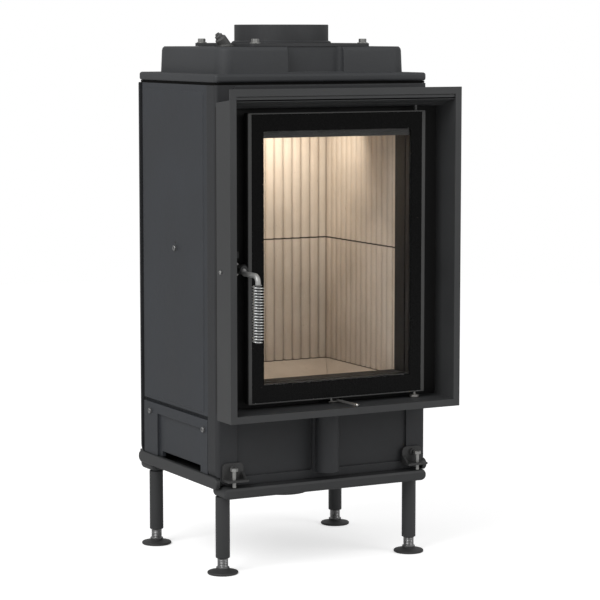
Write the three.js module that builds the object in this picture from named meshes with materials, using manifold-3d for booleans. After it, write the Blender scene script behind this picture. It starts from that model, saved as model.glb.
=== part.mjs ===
// Tall fireplace insert: a cast-iron casing on levelling legs, a glazed door in a deep facing
// frame, a fluted firebrick chamber and a stepped dome with a flue collar.
// Millimetres, +Z up, front towards -Y. The casing's front face is at y = 0 while the parts are
// drawn; the finished group is then moved so that the origin is the middle of its footprint.
import * as THREE from 'three';
import { mergeVertices } from 'three/addons/utils/BufferGeometryUtils.js';
import Module from 'manifold-3d';

const wasm = await Module();
wasm.setup();

// ---- driving dimensions ----------------------------------------------------------------
const GAP = 0.3;                // between two pieces that rest on or against each other
const SEGMENTS = 32;            // facets round a large circle

// casing
const BODY_W = 447;
const BODY_D = 339;
const BODY_H = 739;
const WALL = 8;
const EDGE_R = 8;               // rounding of the casing's upright edges
const FOOT_R = 30;              // rounding of its lower corners, seen from the front
const RETURN_D = 37;            // how far the front casting turns back along each side
const REAR_GROOVE = 6;          // shadow gap between side castings and rear edge
const SIDE_GAP = 5;             // shadow gap between front casting and side castings
const SEAM_H = 119;             // height of the seam between lower and upper side castings
const SEAM_GAP = 7;
const PANEL_INSET = 2.4;        // side castings lie this far inside the front casting's returns
const WEB_T = 4;                // inner flange of the side castings
const FIELD_INSET = 16;
const FIELD_PROUD = 1.4;
const BASE_FIELD_DEPTH = 5;
const BASE_FIELD_FRONT = 30;    // from the side casting's front end to its recessed field
const BASE_FIELD_REAR = 61;
const BASE_FIELD_DROP = 19;
const BASE_LEDGE = 18;          // width of the inner ledge that carries the floor plate
const AIR_SLOT_H = 11;
const AIR_SLOT_REAR = 73;
const PAN_T = 6;
const PAN_RIB_X = 62;
const PAN_RIB_W = 10;
const PAN_RIB_H = 20;           // top of the pan's ribs above the casing's foot
const TOP_BAND_H = 9;
const TOP_BAND_PROUD = 3;
const RELIEF_DEPTH = 5;
const RELIEF_H = 112;
const RELIEF_FOOT = 16;
const RELIEF_SIDE = 42;
const RIB_R = 24;
const RIB_SINK = 10;            // the rib's axis lies this far behind the front face

// base
const LEG_INSET = 22.5;         // leg axes inside the casing's sides
const LEG_FRONT = 22;           // leg axes, measured back from the front face
const LEG_REAR_INSET = 21;
const LEG_H = 146;              // floor to the underside of the cross rails
const LEG_R = 13.5;
const LEG_WALL = 2.5;
const LEG_CLEAR = 30;           // the leg tubes end this far above the floor
const SPINDLE_R = 10;
const SPINDLE_TOP = 104;
const PAD_R = 29;
const PAD_T = 8.5;
const RAIL_H = 22;
const RAIL_D = 57;
const RAIL_CORNER = 10;
const RAIL_EASE = 6;            // rounding of the cross rails' long edges
const RAIL_INNER = 14;          // cross rails reach this far inwards past the leg axes
const SIDE_RAIL_T = 10;
const SIDE_RAIL_LIFT = 17;      // side rails stand this much higher than the cross rails
const SIDE_RAIL_OVER = 3;
const SPIGOT_R = 50;
const SPIGOT_H = 60;

// top
const SEAL_T = 4.3;
const SEAL_INSET = 14;
const FLANGE_T = 12;
const DOME_STEP = 27.5;         // width of the flange beside the raised box
const DOME_FRONT = 31;          // and before and behind it
const DOME_REAR = 28;
const DOME_H = 52.6;
const DOME_R = 30;
const DOME_WALL = 7;
const DOME_DRAFT = 2.5;
const DOME_RECESS_W = 118;
const DOME_RECESS_D = 13;
const COVER_W = 254;
const COVER_T = 6;
const COVER_R = 15;
const FLUE_R = 90;
const FLUE_WALL = 5;
const FLUE_H = 35;
const SLEEVE_OUT = 23;          // sensor sleeve outside the cover plate's left edge
const SLEEVE_BACK = 70;         // and behind its front edge
const SLEEVE_R = 11;
const SLEEVE_FOOT_R = 15;
const SLEEVE_TILT = 38;         // degrees from upright

// facing frame
const FRAME_OVER = 18;          // reaches past the casing on each side
const FRAME_RISE = 132;         // its foot above the casing's foot
const FRAME_DROP = 5;           // its top below the casing's top
const FRAME_PROUD = 96;
const FRAME_LIP = 13;
const FRAME_SHEET = 2.5;
const FRAME_BACK = 40;          // the outer wall ends this far before the front face
const TOP_SLOPE = 0.35;         // fall of the top wall per unit of depth
const OUTER_SLOPE = 0.28;
const SILL_SLOPE = 0.043;

// door seat
const SEAT_PROUD = 26;
const SEAT_T = 8;
const SEAT_MARGIN = 4.5;        // how far the seat plate reaches past the frame's inner walls
const DUCT_WALL = 11;
const NECK_INSET = 18.5;        // neck walls inside the casing's sides
const NECK_DROP = 53.4;         // neck's top below the frame's top

// door
const DOOR_SIDE = 42.5;         // room between door and frame at each side
const DOOR_LIFT = 13.6;         // over the frame's sill at its front edge
const DOOR_HEAD = 31.4;         // under the frame's front lip
const DOOR_STILE = 39;          // upright and level members round the opening
const DOOR_RAIL = 40.5;
const OPEN_DROP = 5;            // the opening sits this much below the door's middle
const DOOR_PROUD = 57;
const DOOR_T = 11.7;
const GLASS_T = 4;
const TRIM_W = 7;
const TRIM_THIN = 2;
const GASKET_T = 8;
const GASKET_W = 8;
const HINGE_INSET = 16;         // hinge axis inside the door's right edge
const HINGE_PROUD = 48;
const PIN_R = 3;
const PIN_GRIP = 15;            // how far each hinge pin reaches into the door frame
const COLLAR_R = 6.75;
const COLLAR_H = 4.5;

// handle
const HANDLE_OUT = 10;          // shaft outside the door's left edge
const HANDLE_RISE = 248.5;      // above the door's lower edge
const HANDLE_R = 5;
const HANDLE_REACH = 58;        // grip axis before the door's face
const HANDLE_BEND = 15;
const HANDLE_DROP = 128;        // from the shaft's axis to the rod's lower end
const SHAFT_TAIL = 12;          // shaft behind the door's face plane
const LUG_R = 9;
const COIL_R = 10.4;            // centre line of the grip's wire
const COIL_WIRE = 1.35;         // radius of the wire
const COIL_TURNS = 20;
const COIL_PITCH = 5.5;
const COIL_DROP = 18.5;         // from the shaft's axis to the first turn
const COIL_STEPS = 8;
const COIL_SIDES = 5;
const FORK_T = 6;
const FORK_REACH = 16;
const FORK_SPREAD = 18;

// air control
const LEVER_PIVOT = 33;         // pivot before the front face
const LEVER_REACH = 86;
const LEVER_TAIL = 32.5;
const LEVER_R = 2.5;
const LEVER_RISE = 8.6;         // over the frame's sill at its front edge
const LEVER_ANGLE = 4.2;        // degrees to the right of straight ahead
const SLIDE_W = 150;
const SLIDE_H = 23;
const SLIDE_DROP = 1.5;         // the slide's middle lies this far under the lever
const SLIDE_T = 4.5;
const SLIDE_CLEAR = 2;
const PORT_X = 40;
const PORT_W = 26;
const FORK_SLOT = 8;            // slot in the slide round the lever's tail

// fire chamber
const BRICK_T = 45;
const LINING_GAP = 9.1;         // hot-air gap between lining and side castings
const LINING_REAR_GAP = 12.5;
const LINING_DROP = 67;         // lining's top below the casing's top
const BRICK_JOINT = 0.5;
const FLUTE_DEPTH = 3.5;
const BACK_FLUTES = 15;
const SIDE_FLUTES = 13;
const FLUTE_STEPS = 5;
const HEARTH_H = 58;            // thickness of the sloping slabs at the walls
const HEARTH_RISE = 126;        // underside of the slabs above the casing's foot
const HEARTH_FALL = 25;
const HEARTH_RIM = 27;          // width of the shallow slope at the side walls
const HEARTH_RIM_FRONT = 52;
const HEARTH_RIM_REAR = 55;
const GRATE_W = 160;
const GRATE_D = 96;
const GRATE_T = 8;
const GRATE_SLOTS = 7;
const GRATE_RIM = 12;
const PLATE_T = 8;
const BAFFLE_T = 22;
const BAFFLE_FRONT = 62;
const ASH_W = 170;
const ASH_D = 170;
const ASH_H = 70;
const ASH_WALL = 2;

// brackets and fasteners
const BRACKET_INSET = 31.5;     // bracket's middle inside the casing's sides
const BRACKET_W = 42;
const BRACKET_T = 4;
const BRACKET_LEDGE = 28;
const BRACKET_LIFT = 10.5;      // ledge underside above the casing's foot
const BRACKET_H = 33;
const SOCKET_R = 6.5;
const SOCKET_HEAD = 4.5;
const HEX_R = 7.2;
const BOLT_R = 3.6;
const BOLT_HEAD = 5.5;
const BOLT_SHIFT = 4;           // levelling bolts stand this far outside the bracket's middle
const BOLT_STAND = 16;          // bare shank above the ledge

// ---- heights and planes worked out from the sizes above ----------------------------------
const legX = BODY_W / 2 - LEG_INSET;
const legRear = BODY_D - LEG_REAR_INSET;
const flueY = BODY_D / 2;
const domeW = BODY_W - 2 * DOME_STEP;
const domeD = BODY_D - DOME_FRONT - DOME_REAR;
const sleeveX = -COVER_W / 2 - SLEEVE_OUT;
const sleeveY = flueY - COVER_W / 2 + SLEEVE_BACK;
const frameW = BODY_W + 2 * FRAME_OVER;
const frameH = BODY_H - FRAME_RISE - FRAME_DROP;
const doorW = frameW - 2 * (FRAME_LIP + DOOR_SIDE);
const doorH = frameH - 2 * FRAME_LIP - DOOR_LIFT - DOOR_HEAD;
const openW = doorW - 2 * DOOR_STILE;
const openH = doorH - 2 * DOOR_RAIL;
const hingeX = doorW / 2 - HINGE_INSET;
const handleX = -doorW / 2 - HANDLE_OUT;
const bracketX = BODY_W / 2 - BRACKET_INSET;
const railTop = LEG_H + RAIL_H;
const sideRailTop = railTop + SIDE_RAIL_LIFT;
const bodyFoot = railTop + GAP;
const bodyTop = bodyFoot + BODY_H;
const flangeFoot = bodyTop + SEAL_T;
const flangeTop = flangeFoot + FLANGE_T;
const domeTop = flangeTop + DOME_H;
const coverFoot = domeTop + GAP;
const coverTop = coverFoot + COVER_T;
const frameFoot = bodyFoot + FRAME_RISE;
const frameTop = frameFoot + frameH;
const sill = frameFoot + FRAME_LIP;
const doorFoot = sill + DOOR_LIFT;
const doorTop = doorFoot + doorH;
const doorMid = (doorFoot + doorTop) / 2;
const openFoot = doorMid - OPEN_DROP - openH / 2;
const openTop = openFoot + openH;
const doorBack = -(DOOR_PROUD - GLASS_T - GAP - DOOR_T);
const seatFace = doorBack + GASKET_T;
const seamZ = bodyFoot + SEAM_H;
const hearthFoot = bodyFoot + HEARTH_RISE;
const hearthTop = hearthFoot + HEARTH_H;
const brickFoot = hearthTop + GAP;
const brickTop = bodyTop - LINING_DROP;
const brickSeam = (brickFoot + brickTop - BRICK_JOINT) / 2;
const handleZ = doorFoot + HANDLE_RISE;
const gripY = -(DOOR_PROUD + HANDLE_REACH);
const leverZ = sill + LEVER_RISE;
const sideX = BODY_W / 2 - PANEL_INSET;
const webX = sideX - WALL - WEB_T;
const liningX = webX - LINING_GAP - BRICK_T;
const liningFront = WALL + GAP;
const liningBack = BODY_D - WALL - LINING_REAR_GAP;
const chamberBack = liningBack - BRICK_T;
const grateY = (liningFront + chamberBack) / 2;

// ---- materials ---------------------------------------------------------------------------
const finish = (color, roughness, metalness) =>
  new THREE.MeshStandardMaterial({ color, roughness, metalness });
const iron = finish(0x3b3d40, 0.7, 0.3);
const frameSteel = finish(0x414241, 0.6, 0.3);
const blackSteel = finish(0x161616, 0.6, 0.3);
const brightSteel = finish(0xb9b7b2, 0.3, 0.9);
const zincSteel = finish(0x7f7f80, 0.45, 0.8);
const firebrick = finish(0xd9c7ae, 0.95, 0);
const glass = finish(0x20201e, 0.05, 0);
const rope = finish(0x2a2a2a, 0.95, 0);

// ---- solids ------------------------------------------------------------------------------
// One closed, welded mesh with its faces pointing out.
function closed(geometry) {
  let plain = geometry.index ? geometry.toNonIndexed() : geometry.clone();
  for (const name of Object.keys(plain.attributes)) {
    if (name !== 'position') plain.deleteAttribute(name);
  }
  plain = mergeVertices(plain, 1e-3);
  const at = plain.attributes.position;
  const p = [new THREE.Vector3(), new THREE.Vector3(), new THREE.Vector3()];
  const kept = [];
  let volume = 0;
  for (let i = 0; i < plain.index.count; i += 3) {
    const ids = [0, 1, 2].map((k) => plain.index.getX(i + k));
    if (ids[0] === ids[1] || ids[1] === ids[2] || ids[2] === ids[0]) continue;
    ids.forEach((id, k) => p[k].fromBufferAttribute(at, id));
    volume += p[0].dot(p[1].clone().cross(p[2])) / 6;
    kept.push(ids);
  }
  if (volume < 0) kept.forEach((ids) => ids.reverse());
  plain.setIndex(kept.flat());
  return plain;
}

function solid(geometry) {
  const shell = closed(geometry);
  return new wasm.Manifold(new wasm.Mesh({
    numProp: 3,
    vertProperties: new Float32Array(shell.attributes.position.array),
    triVerts: new Uint32Array(shell.index.array),
  }));
}

function skin(body) {
  const mesh = body.getMesh();
  const geometry = new THREE.BufferGeometry();
  geometry.setAttribute('position', new THREE.BufferAttribute(mesh.vertProperties, 3));
  geometry.setIndex(new THREE.BufferAttribute(mesh.triVerts, 1));
  return geometry;
}

const cut = (from, ...tools) => skin(tools.reduce((body, tool) => body.subtract(solid(tool)), solid(from)));
const join = (...pieces) => skin(pieces.map(solid).reduce((body, next) => body.add(next)));
const common = (a, b) => skin(solid(a).intersect(solid(b)));

// Box between two corners.
function block(x0, x1, y0, y1, z0, z1) {
  const box = new THREE.BoxGeometry(x1 - x0, y1 - y0, z1 - z0);
  return box.translate((x0 + x1) / 2, (y0 + y1) / 2, (z0 + z1) / 2);
}

const outline = (points) => new THREE.Shape(points.map(([u, v]) => new THREE.Vector2(u, v)));

// Rectangle centred on (cu, cv) with four corner radii: lower left, lower right, upper right, upper left.
function rounded(cu, cv, width, height, radii) {
  const [a, b, c, d] = Array.isArray(radii) ? radii : [radii, radii, radii, radii];
  const u0 = cu - width / 2;
  const u1 = cu + width / 2;
  const v0 = cv - height / 2;
  const v1 = cv + height / 2;
  const shape = new THREE.Shape();
  const turn = (u, v, r, from) => {
    if (r > 0) shape.absarc(u, v, r, from, from + Math.PI / 2, false);
    else shape.lineTo(u, v);
  };
  shape.moveTo(u0 + a, v0);
  turn(u1 - b, v0 + b, b, -Math.PI / 2);
  turn(u1 - c, v1 - c, c, 0);
  turn(u0 + d, v1 - d, d, Math.PI / 2);
  turn(u0 + a, v0 + a, a, Math.PI);
  return shape;
}

const extrude = (shape, depth, facets) =>
  new THREE.ExtrudeGeometry(shape, { depth, bevelEnabled: false, curveSegments: facets });

// Prisms along the three axes; the shape is drawn in XY, XZ or YZ.
const alongZ = (shape, z0, z1, facets = 5) => extrude(shape, z1 - z0, facets).translate(0, 0, z0);
const alongY = (shape, y0, y1, facets = 5) =>
  extrude(shape, y1 - y0, facets).rotateX(Math.PI / 2).translate(0, y1, 0);
function alongX(shape, x0, x1, facets = 5) {
  const turn = new THREE.Matrix4().makeBasis(
    new THREE.Vector3(0, 1, 0), new THREE.Vector3(0, 0, 1), new THREE.Vector3(1, 0, 0));
  return extrude(shape, x1 - x0, facets).applyMatrix4(turn).translate(x0, 0, 0);
}

// A bar whose outline is drawn in XZ and whose long edges are rounded over.
function easedBar(shapeFor, y0, y1, ease) {
  const bar = new THREE.ExtrudeGeometry(shapeFor(ease), {
    depth: y1 - y0 - 2 * ease, bevelEnabled: true, bevelSize: ease, bevelThickness: ease,
    bevelSegments: 2, curveSegments: 4,
  });
  return bar.rotateX(Math.PI / 2).translate(0, y1 - ease, 0);
}

// Revolved solid about an upright axis; the profile is [radius, height] from axis to axis.
function turned(profile, x, y, z, facets = SEGMENTS) {
  const points = profile.map(([r, h]) => new THREE.Vector2(r, h));
  return new THREE.LatheGeometry(points, facets).rotateX(Math.PI / 2).translate(x, y, z);
}

const rod = (r, x, y, z0, z1, facets = 16) =>
  turned([[0, 0], [r, 0], [r, z1 - z0], [0, z1 - z0]], x, y, z0, facets);

function pipe(outer, inner, x, y, z0, z1, facets = SEGMENTS) {
  const h = z1 - z0;
  return turned([[inner, 0], [outer, 0], [outer, h], [inner, h], [inner, 0]], x, y, z0, facets);
}

// Solid between two stacked rectangles [x0, x1, y0, y1] at heights z0 and z1.
function hopper(low, z0, high, z1) {
  const ring = ([x0, x1, y0, y1], z) => [[x0, y0, z], [x1, y0, z], [x1, y1, z], [x0, y1, z]];
  const geometry = new THREE.BufferGeometry();
  geometry.setAttribute('position', new THREE.Float32BufferAttribute([...ring(low, z0), ...ring(high, z1)].flat(), 3));
  const sides = [0, 1, 2, 3].flatMap((i) => {
    const j = (i + 1) % 4;
    return [i, j, j + 4, i, j + 4, i + 4];
  });
  geometry.setIndex([0, 2, 1, 0, 3, 2, 4, 5, 6, 4, 6, 7, ...sides]);
  return geometry;
}

// Round wire along a list of points, closed at both ends, with frames carried along the path.
function wire(points, radius, sides) {
  const vertices = [];
  const faces = [];
  const last = points.length - 1;
  let side = null;
  points.forEach((point, i) => {
    const ahead = points[Math.min(i + 1, last)].clone().sub(points[Math.max(i - 1, 0)]).normalize();
    if (!side) side = new THREE.Vector3(0, 0, 1).cross(ahead).normalize();
    side.addScaledVector(ahead, -side.dot(ahead)).normalize();
    const other = ahead.clone().cross(side);
    for (let k = 0; k < sides; k += 1) {
      const a = (2 * Math.PI * k) / sides;
      const v = point.clone().addScaledVector(side, radius * Math.cos(a)).addScaledVector(other, radius * Math.sin(a));
      vertices.push(v.x, v.y, v.z);
      if (i < last) {
        const n = (k + 1) % sides;
        const row = i * sides;
        faces.push(row + k, row + n, row + sides + n, row + k, row + sides + n, row + sides + k);
      }
    }
  });
  for (let k = 1; k < sides - 1; k += 1) {
    faces.push(0, k + 1, k, last * sides, last * sides + k, last * sides + k + 1);
  }
  const geometry = new THREE.BufferGeometry();
  geometry.setAttribute('position', new THREE.Float32BufferAttribute(vertices, 3));
  geometry.setIndex(faces);
  return geometry;
}

// Hexagon head on an upright shank, head upwards: [z0, z1] is the shank, then the head.
function hexBolt(x, y, z0, z1, shank, head, headHeight) {
  const top = new THREE.CylinderGeometry(head, head, headHeight, 6).rotateX(Math.PI / 2);
  return join(rod(shank, x, y, z0, z1 + 1, 12), top.translate(x, y, z1 + headHeight / 2));
}

// Screw with a flat round head and a socket, head towards -Y or +Y, seated at y.
function socketScrew(x, y, z, radius, height, facing, shank, length) {
  const profile = [[0, -length], [shank, -length], [shank, 0], [radius, 0], [radius, height * 0.8],
    [radius * 0.85, height], [radius * 0.5, height], [radius * 0.5, height * 0.4], [0, height * 0.4]];
  const screw = turned(profile, 0, 0, 0, 12);
  return screw.rotateX(facing < 0 ? Math.PI / 2 : -Math.PI / 2).translate(x, y, z);
}

// ---- the object --------------------------------------------------------------------------
const insert = new THREE.Group();

function add(name, geometry, material) {
  const mesh = new THREE.Mesh(closed(geometry), material.clone());
  mesh.name = name;
  insert.add(mesh);
}

const mirrorX = (geometry) => closed(geometry).scale(-1, 1, 1);
const frameCeiling = (y) => frameTop - FRAME_LIP - TOP_SLOPE * (y + FRAME_PROUD);
const frameFloor = (y) => sill + SILL_SLOPE * (y + FRAME_PROUD);

// ---- casing ------------------------------------------------------------------------------
// What the side rails need clear on both sides, as two blocks through the casting's corners.
const railNotches = () => [-1, 1].map((s) => block(
  Math.min(s * crossRailHalf, s * BODY_W), Math.max(s * crossRailHalf, s * BODY_W),
  -1, BODY_D + 1, bodyFoot - 1, sideRailTop + GAP));

// Front casting: a channel in plan, rounded below, with the window hole, relief fields, a
// half-round rib and a band above the facing frame.
function frontCasting() {
  const halfW = BODY_W / 2;
  const plan = rounded(0, RETURN_D / 2, BODY_W, RETURN_D, [EDGE_R, EDGE_R, 0, 0]);
  const inner = block(-halfW + WALL, halfW - WALL, WALL, RETURN_D + 1, bodyFoot - 1, bodyTop + 1);
  const face = rounded(0, bodyFoot + BODY_H / 2, BODY_W, BODY_H, [FOOT_R, FOOT_R, 2, 2]);
  const shell = common(cut(alongZ(plan, bodyFoot, bodyTop), inner), alongY(face, -1, RETURN_D + 1, 6));
  const band = outline([[-1, 0], [1, 0], [1 - TOP_BAND_H / halfW, 1], [-1 + TOP_BAND_H / halfW, 1]]
    .map(([u, v]) => [u * (halfW - RELIEF_SIDE + 8), bodyTop - TOP_BAND_H * (1 - v) - 2]));
  const rib = rod(RIB_R, 0, RIB_SINK, bodyFoot + RELIEF_FOOT - 5, bodyFoot + RELIEF_FOOT + RELIEF_H + 4, 24);
  const ribFront = common(rib, block(-RIB_R - 1, RIB_R + 1, -RIB_R, WALL - 1, bodyFoot, bodyTop));
  const ledge = block(-SLIDE_W / 2 - 20, SLIDE_W / 2 + 20, -2 * SLIDE_T, 1, slideFoot - 6, slideFoot - GAP);
  const body = join(shell, alongY(band, -TOP_BAND_PROUD, 1), ribFront, ledge);
  const fieldW = halfW - RELIEF_SIDE - RIB_R;
  const fields = [-1, 1].map((s) => alongY(
    rounded(s * (RIB_R + fieldW / 2 + 0.01), bodyFoot + RELIEF_FOOT + RELIEF_H / 2, fieldW, RELIEF_H, 5),
    -1, RELIEF_DEPTH, 3));
  const hole = block(-ductHalf - GAP, ductHalf + GAP, -1, WALL + 1, openFoot - DUCT_WALL - GAP, openTop + DUCT_WALL + GAP);
  const ports = [-1, 1].map((s) => block(s * PORT_X - PORT_W / 2 - 2, s * PORT_X + PORT_W / 2 + 2, -1, WALL + 1, leverZ - 7, leverZ + 7));
  const pockets = [-1, 1].map((s) => rod(SOCKET_R * 0.5, 0, 0, 0, WALL + 2, 12)
    .rotateX(Math.PI / 2).translate(s * bracketX, WALL + 1, bracketScrewZ));
  return cut(body, ...fields, hole, ...ports, ...pockets, ...railNotches());
}

// Rear casting: flat plate with a stepped edge and two relief fields on the outside.
function rearCasting() {
  const face = rounded(0, bodyFoot + BODY_H / 2, BODY_W, BODY_H, [FOOT_R, FOOT_R, 2, 2]);
  const plate = alongY(face, BODY_D - WALL, BODY_D, 6);
  const steps = [-1, 1].map((s) => block(s * BODY_W / 2 - 9, s * BODY_W / 2 + 9,
    BODY_D - WALL - 1, BODY_D - WALL / 2, bodyFoot - 1, bodyTop + 1));
  const fieldH = (BODY_H - 4 * RELIEF_FOOT) / 2;
  const fields = [0, 1].map((i) => alongY(rounded(0, bodyFoot + 2 * RELIEF_FOOT + fieldH / 2
    + i * (fieldH + RELIEF_FOOT / 2), BODY_W - 2 * RELIEF_SIDE, fieldH - RELIEF_FOOT, 8),
  BODY_D - RELIEF_DEPTH / 2, BODY_D + 1, 3));
  const holes = [-1, 1].map((s) => rod(SOCKET_R * 0.5, 0, 0, 0, WALL + 2, 12)
    .rotateX(Math.PI / 2).translate(s * bracketX, BODY_D + 1, bracketScrewZ));
  return cut(plate, ...steps, ...fields, ...holes, ...railNotches());
}

const sideFront = RETURN_D + SIDE_GAP;
const sideBack = BODY_D - WALL - REAR_GROOVE + 1;
const sideMid = (sideFront + sideBack) / 2;
const sideLength = sideBack - sideFront;

// Upper side casting (left): plate with a raised field whose edge is chamfered.
function sidePanel() {
  const foot = seamZ + SEAM_GAP;
  const top = bodyTop - GAP;
  const plate = block(-sideX, -sideX + WALL, sideFront, sideBack, foot, top);
  const web = block(-sideX + WALL - 1, -webX, WALL + GAP, BODY_D - WALL - GAP, foot, top);
  const field = new THREE.ExtrudeGeometry(
    rounded(0, 0, sideLength - 2 * FIELD_INSET, top - foot - 1.2 * FIELD_INSET, 4), {
      depth: 1, bevelEnabled: true, bevelSize: FIELD_PROUD, bevelThickness: FIELD_PROUD, bevelSegments: 1, curveSegments: 3 });
  const turn = new THREE.Matrix4().makeBasis(
    new THREE.Vector3(0, -1, 0), new THREE.Vector3(0, 0, 1), new THREE.Vector3(-1, 0, 0));
  field.applyMatrix4(turn).translate(-sideX + 1, sideMid, (foot + top) / 2 - 0.2 * FIELD_INSET);
  return join(plate, web, field);
}

// Lower side casting (left): recessed field with sloping edges and an air slot at its foot.
function sideBase() {
  const foot = sideRailTop + GAP;
  const top = seamZ;
  const plate = block(-sideX - 1, -sideX + WALL + 1, sideFront, sideBack, foot, top);
  const web = block(-sideX + WALL, -webX, WALL + GAP, BODY_D - WALL - GAP, foot, top + SEAM_GAP - GAP);
  const ledgeTop = hearthFoot - PLATE_T - 2 * GAP;
  const ledge = block(-sideX + WALL, -sideX + WALL + BASE_LEDGE, sideFront, sideBack, ledgeTop - WALL, ledgeTop);
  const z0 = foot - 1;
  const z1 = top - BASE_FIELD_DROP;
  const y0 = sideFront + BASE_FIELD_FRONT;
  const y1 = sideBack - BASE_FIELD_REAR;
  const recess = block(-sideX - 2, -sideX + BASE_FIELD_DEPTH - 1, y0, y1, z0, z1);
  const slot = block(-sideX - 2, -sideX + WALL + BASE_LEDGE + 1, y0, sideBack - AIR_SLOT_REAR, z0, foot + AIR_SLOT_H);
  return cut(join(plate, web, ledge), recess, slot);
}

function bottomPan() {
  const half = webX - GAP;
  const pan = block(-half, half, WALL + GAP, BODY_D - WALL - GAP, bodyFoot, bodyFoot + PAN_T);
  const ribs = [-1, 1].map((s) => block(s * PAN_RIB_X - PAN_RIB_W / 2, s * PAN_RIB_X + PAN_RIB_W / 2,
    grateY - ASH_D / 2, grateY + ASH_D / 2, bodyFoot + 1, bodyFoot + PAN_RIB_H));
  return cut(join(pan, ...ribs), rod(SPIGOT_R - 2, 0, flueY, bodyFoot - 1, bodyFoot + PAN_T + 1, SEGMENTS));
}

function floorPlate() {
  const half = webX - GAP;
  const top = hearthFoot - GAP;
  const plate = block(-half, half, WALL + GAP, BODY_D - WALL - GAP, top - PLATE_T, top);
  return cut(plate, block(-GRATE_W / 2 + 8, GRATE_W / 2 - 8, grateY - GRATE_D / 2 + 8, grateY + GRATE_D / 2 - 8, top - PLATE_T - 1, top + 1));
}

// ---- top ---------------------------------------------------------------------------------
const domeMid = DOME_FRONT + domeD / 2;

// Stepped dome casting: rounded flange, drafted box with rounded corners, a rounded recess in
// its front, an open underside and the flue hole.
function topDome() {
  const flangeShape = (ease) => rounded(0, BODY_D / 2, BODY_W - 2 * ease, BODY_D - 2 * ease, EDGE_R);
  const flange = new THREE.ExtrudeGeometry(flangeShape(5), {
    depth: FLANGE_T - 10, bevelEnabled: true, bevelSize: 5, bevelThickness: 5, bevelSegments: 3, curveSegments: 4,
  }).translate(0, 0, flangeFoot + 5);
  const boxAt = (grow, r) => rounded(0, domeMid, domeW + 2 * grow, domeD + 2 * grow, r + grow);
  const rings = [[8, 0], [3, 2.4], [DOME_DRAFT, 8], [0.8, DOME_H - 7], [-0.6, DOME_H - 2.5], [-4, DOME_H]];
  const box = lofted(rings.map(([grow, h]) => [boxAt(grow, DOME_R), flangeTop - 0.5 + h + (h === DOME_H ? 0.5 : 0)]), 6);
  const pocket = (grow) => rounded(0, DOME_FRONT + DOME_RECESS_D / 2 - 10, DOME_RECESS_W + 2 * grow,
    DOME_RECESS_D + 20 + 2 * grow, 0.9 * DOME_RECESS_D + grow);
  const recess = alongZ(pocket(0), flangeTop + 6, domeTop + 1);
  const hollow = cut(alongZ(boxAt(-DOME_WALL, DOME_R), flangeFoot - 1, domeTop - DOME_WALL),
    alongZ(pocket(DOME_WALL), flangeTop, domeTop));
  const hole = rod(FLUE_R - FLUE_WALL - 1, 0, flueY, domeTop - DOME_WALL - 1, domeTop + 1, SEGMENTS);
  return cut(cut(join(flange, box), hollow), recess, hole);
}

// Solid through a stack of outlines with the same number of points: [shape, z] from below.
function lofted(stack, facets) {
  const rings = stack.map(([shape, z]) => shape.getPoints(facets).slice(0, -1).map((p) => [p.x, p.y, z]));
  const n = rings[0].length;
  const geometry = new THREE.BufferGeometry();
  const vertices = rings.flat(2);
  const faces = [];
  rings.slice(1).forEach((ring, i) => {
    for (let k = 0; k < n; k += 1) {
      const a = i * n + k;
      const b = i * n + ((k + 1) % n);
      faces.push(a, b, b + n, a, b + n, a + n);
    }
  });
  const topRow = (rings.length - 1) * n;
  for (let k = 1; k < n - 1; k += 1) faces.push(0, k + 1, k, topRow, topRow + k, topRow + k + 1);
  geometry.setAttribute('position', new THREE.Float32BufferAttribute(vertices, 3));
  geometry.setIndex(faces);
  return geometry;
}

function domeSeal() {
  const z0 = bodyTop + GAP;
  const z1 = flangeFoot - GAP;
  const ring = (inset) => rounded(0, BODY_D / 2, BODY_W - 2 * inset, BODY_D - 2 * inset, 6);
  return cut(alongZ(ring(SEAL_INSET - 12), z0, z1, 3), alongZ(ring(SEAL_INSET), z0 - 1, z1 + 1, 3));
}

function coverPlate() {
  const plate = alongZ(rounded(0, flueY, COVER_W, COVER_W, COVER_R), coverFoot, coverTop, 3);
  return cut(plate, rod(FLUE_R - FLUE_WALL - 1, 0, flueY, coverFoot - 1, coverTop + 1, SEGMENTS));
}

// Flue collar with a small foot flange that stands on the cover plate.
function flueCollar() {
  const h = FLUE_H - GAP;
  const inner = FLUE_R - FLUE_WALL;
  return turned([[inner, 0], [FLUE_R + 5, 0], [FLUE_R + 5, 2], [FLUE_R, 4.5], [FLUE_R, h - 1],
    [FLUE_R - 1, h], [inner, h], [inner, 0]], 0, flueY, coverTop + GAP, 40);
}

// Oblique sensor sleeve on a round foot, with its plug screwed into the end.
function sensorSleeve() {
  const lean = THREE.MathUtils.degToRad(-SLEEVE_TILT);
  const profile = [[0, -8], [SLEEVE_R, -8], [SLEEVE_R, 14], [SLEEVE_R - 2, 16], [7, 16], [7, 21], [4, 22], [4, 25], [0, 25]];
  const tube = turned(profile, 0, 0, 0, 16).rotateY(lean).translate(sleeveX, sleeveY, domeTop + GAP);
  const above = block(sleeveX - 40, sleeveX + 40, sleeveY - 40, sleeveY + 40, domeTop + GAP, domeTop + 60);
  return join(common(tube, above), rod(SLEEVE_FOOT_R, sleeveX, sleeveY, domeTop + GAP, domeTop + 3, 20));
}

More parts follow.
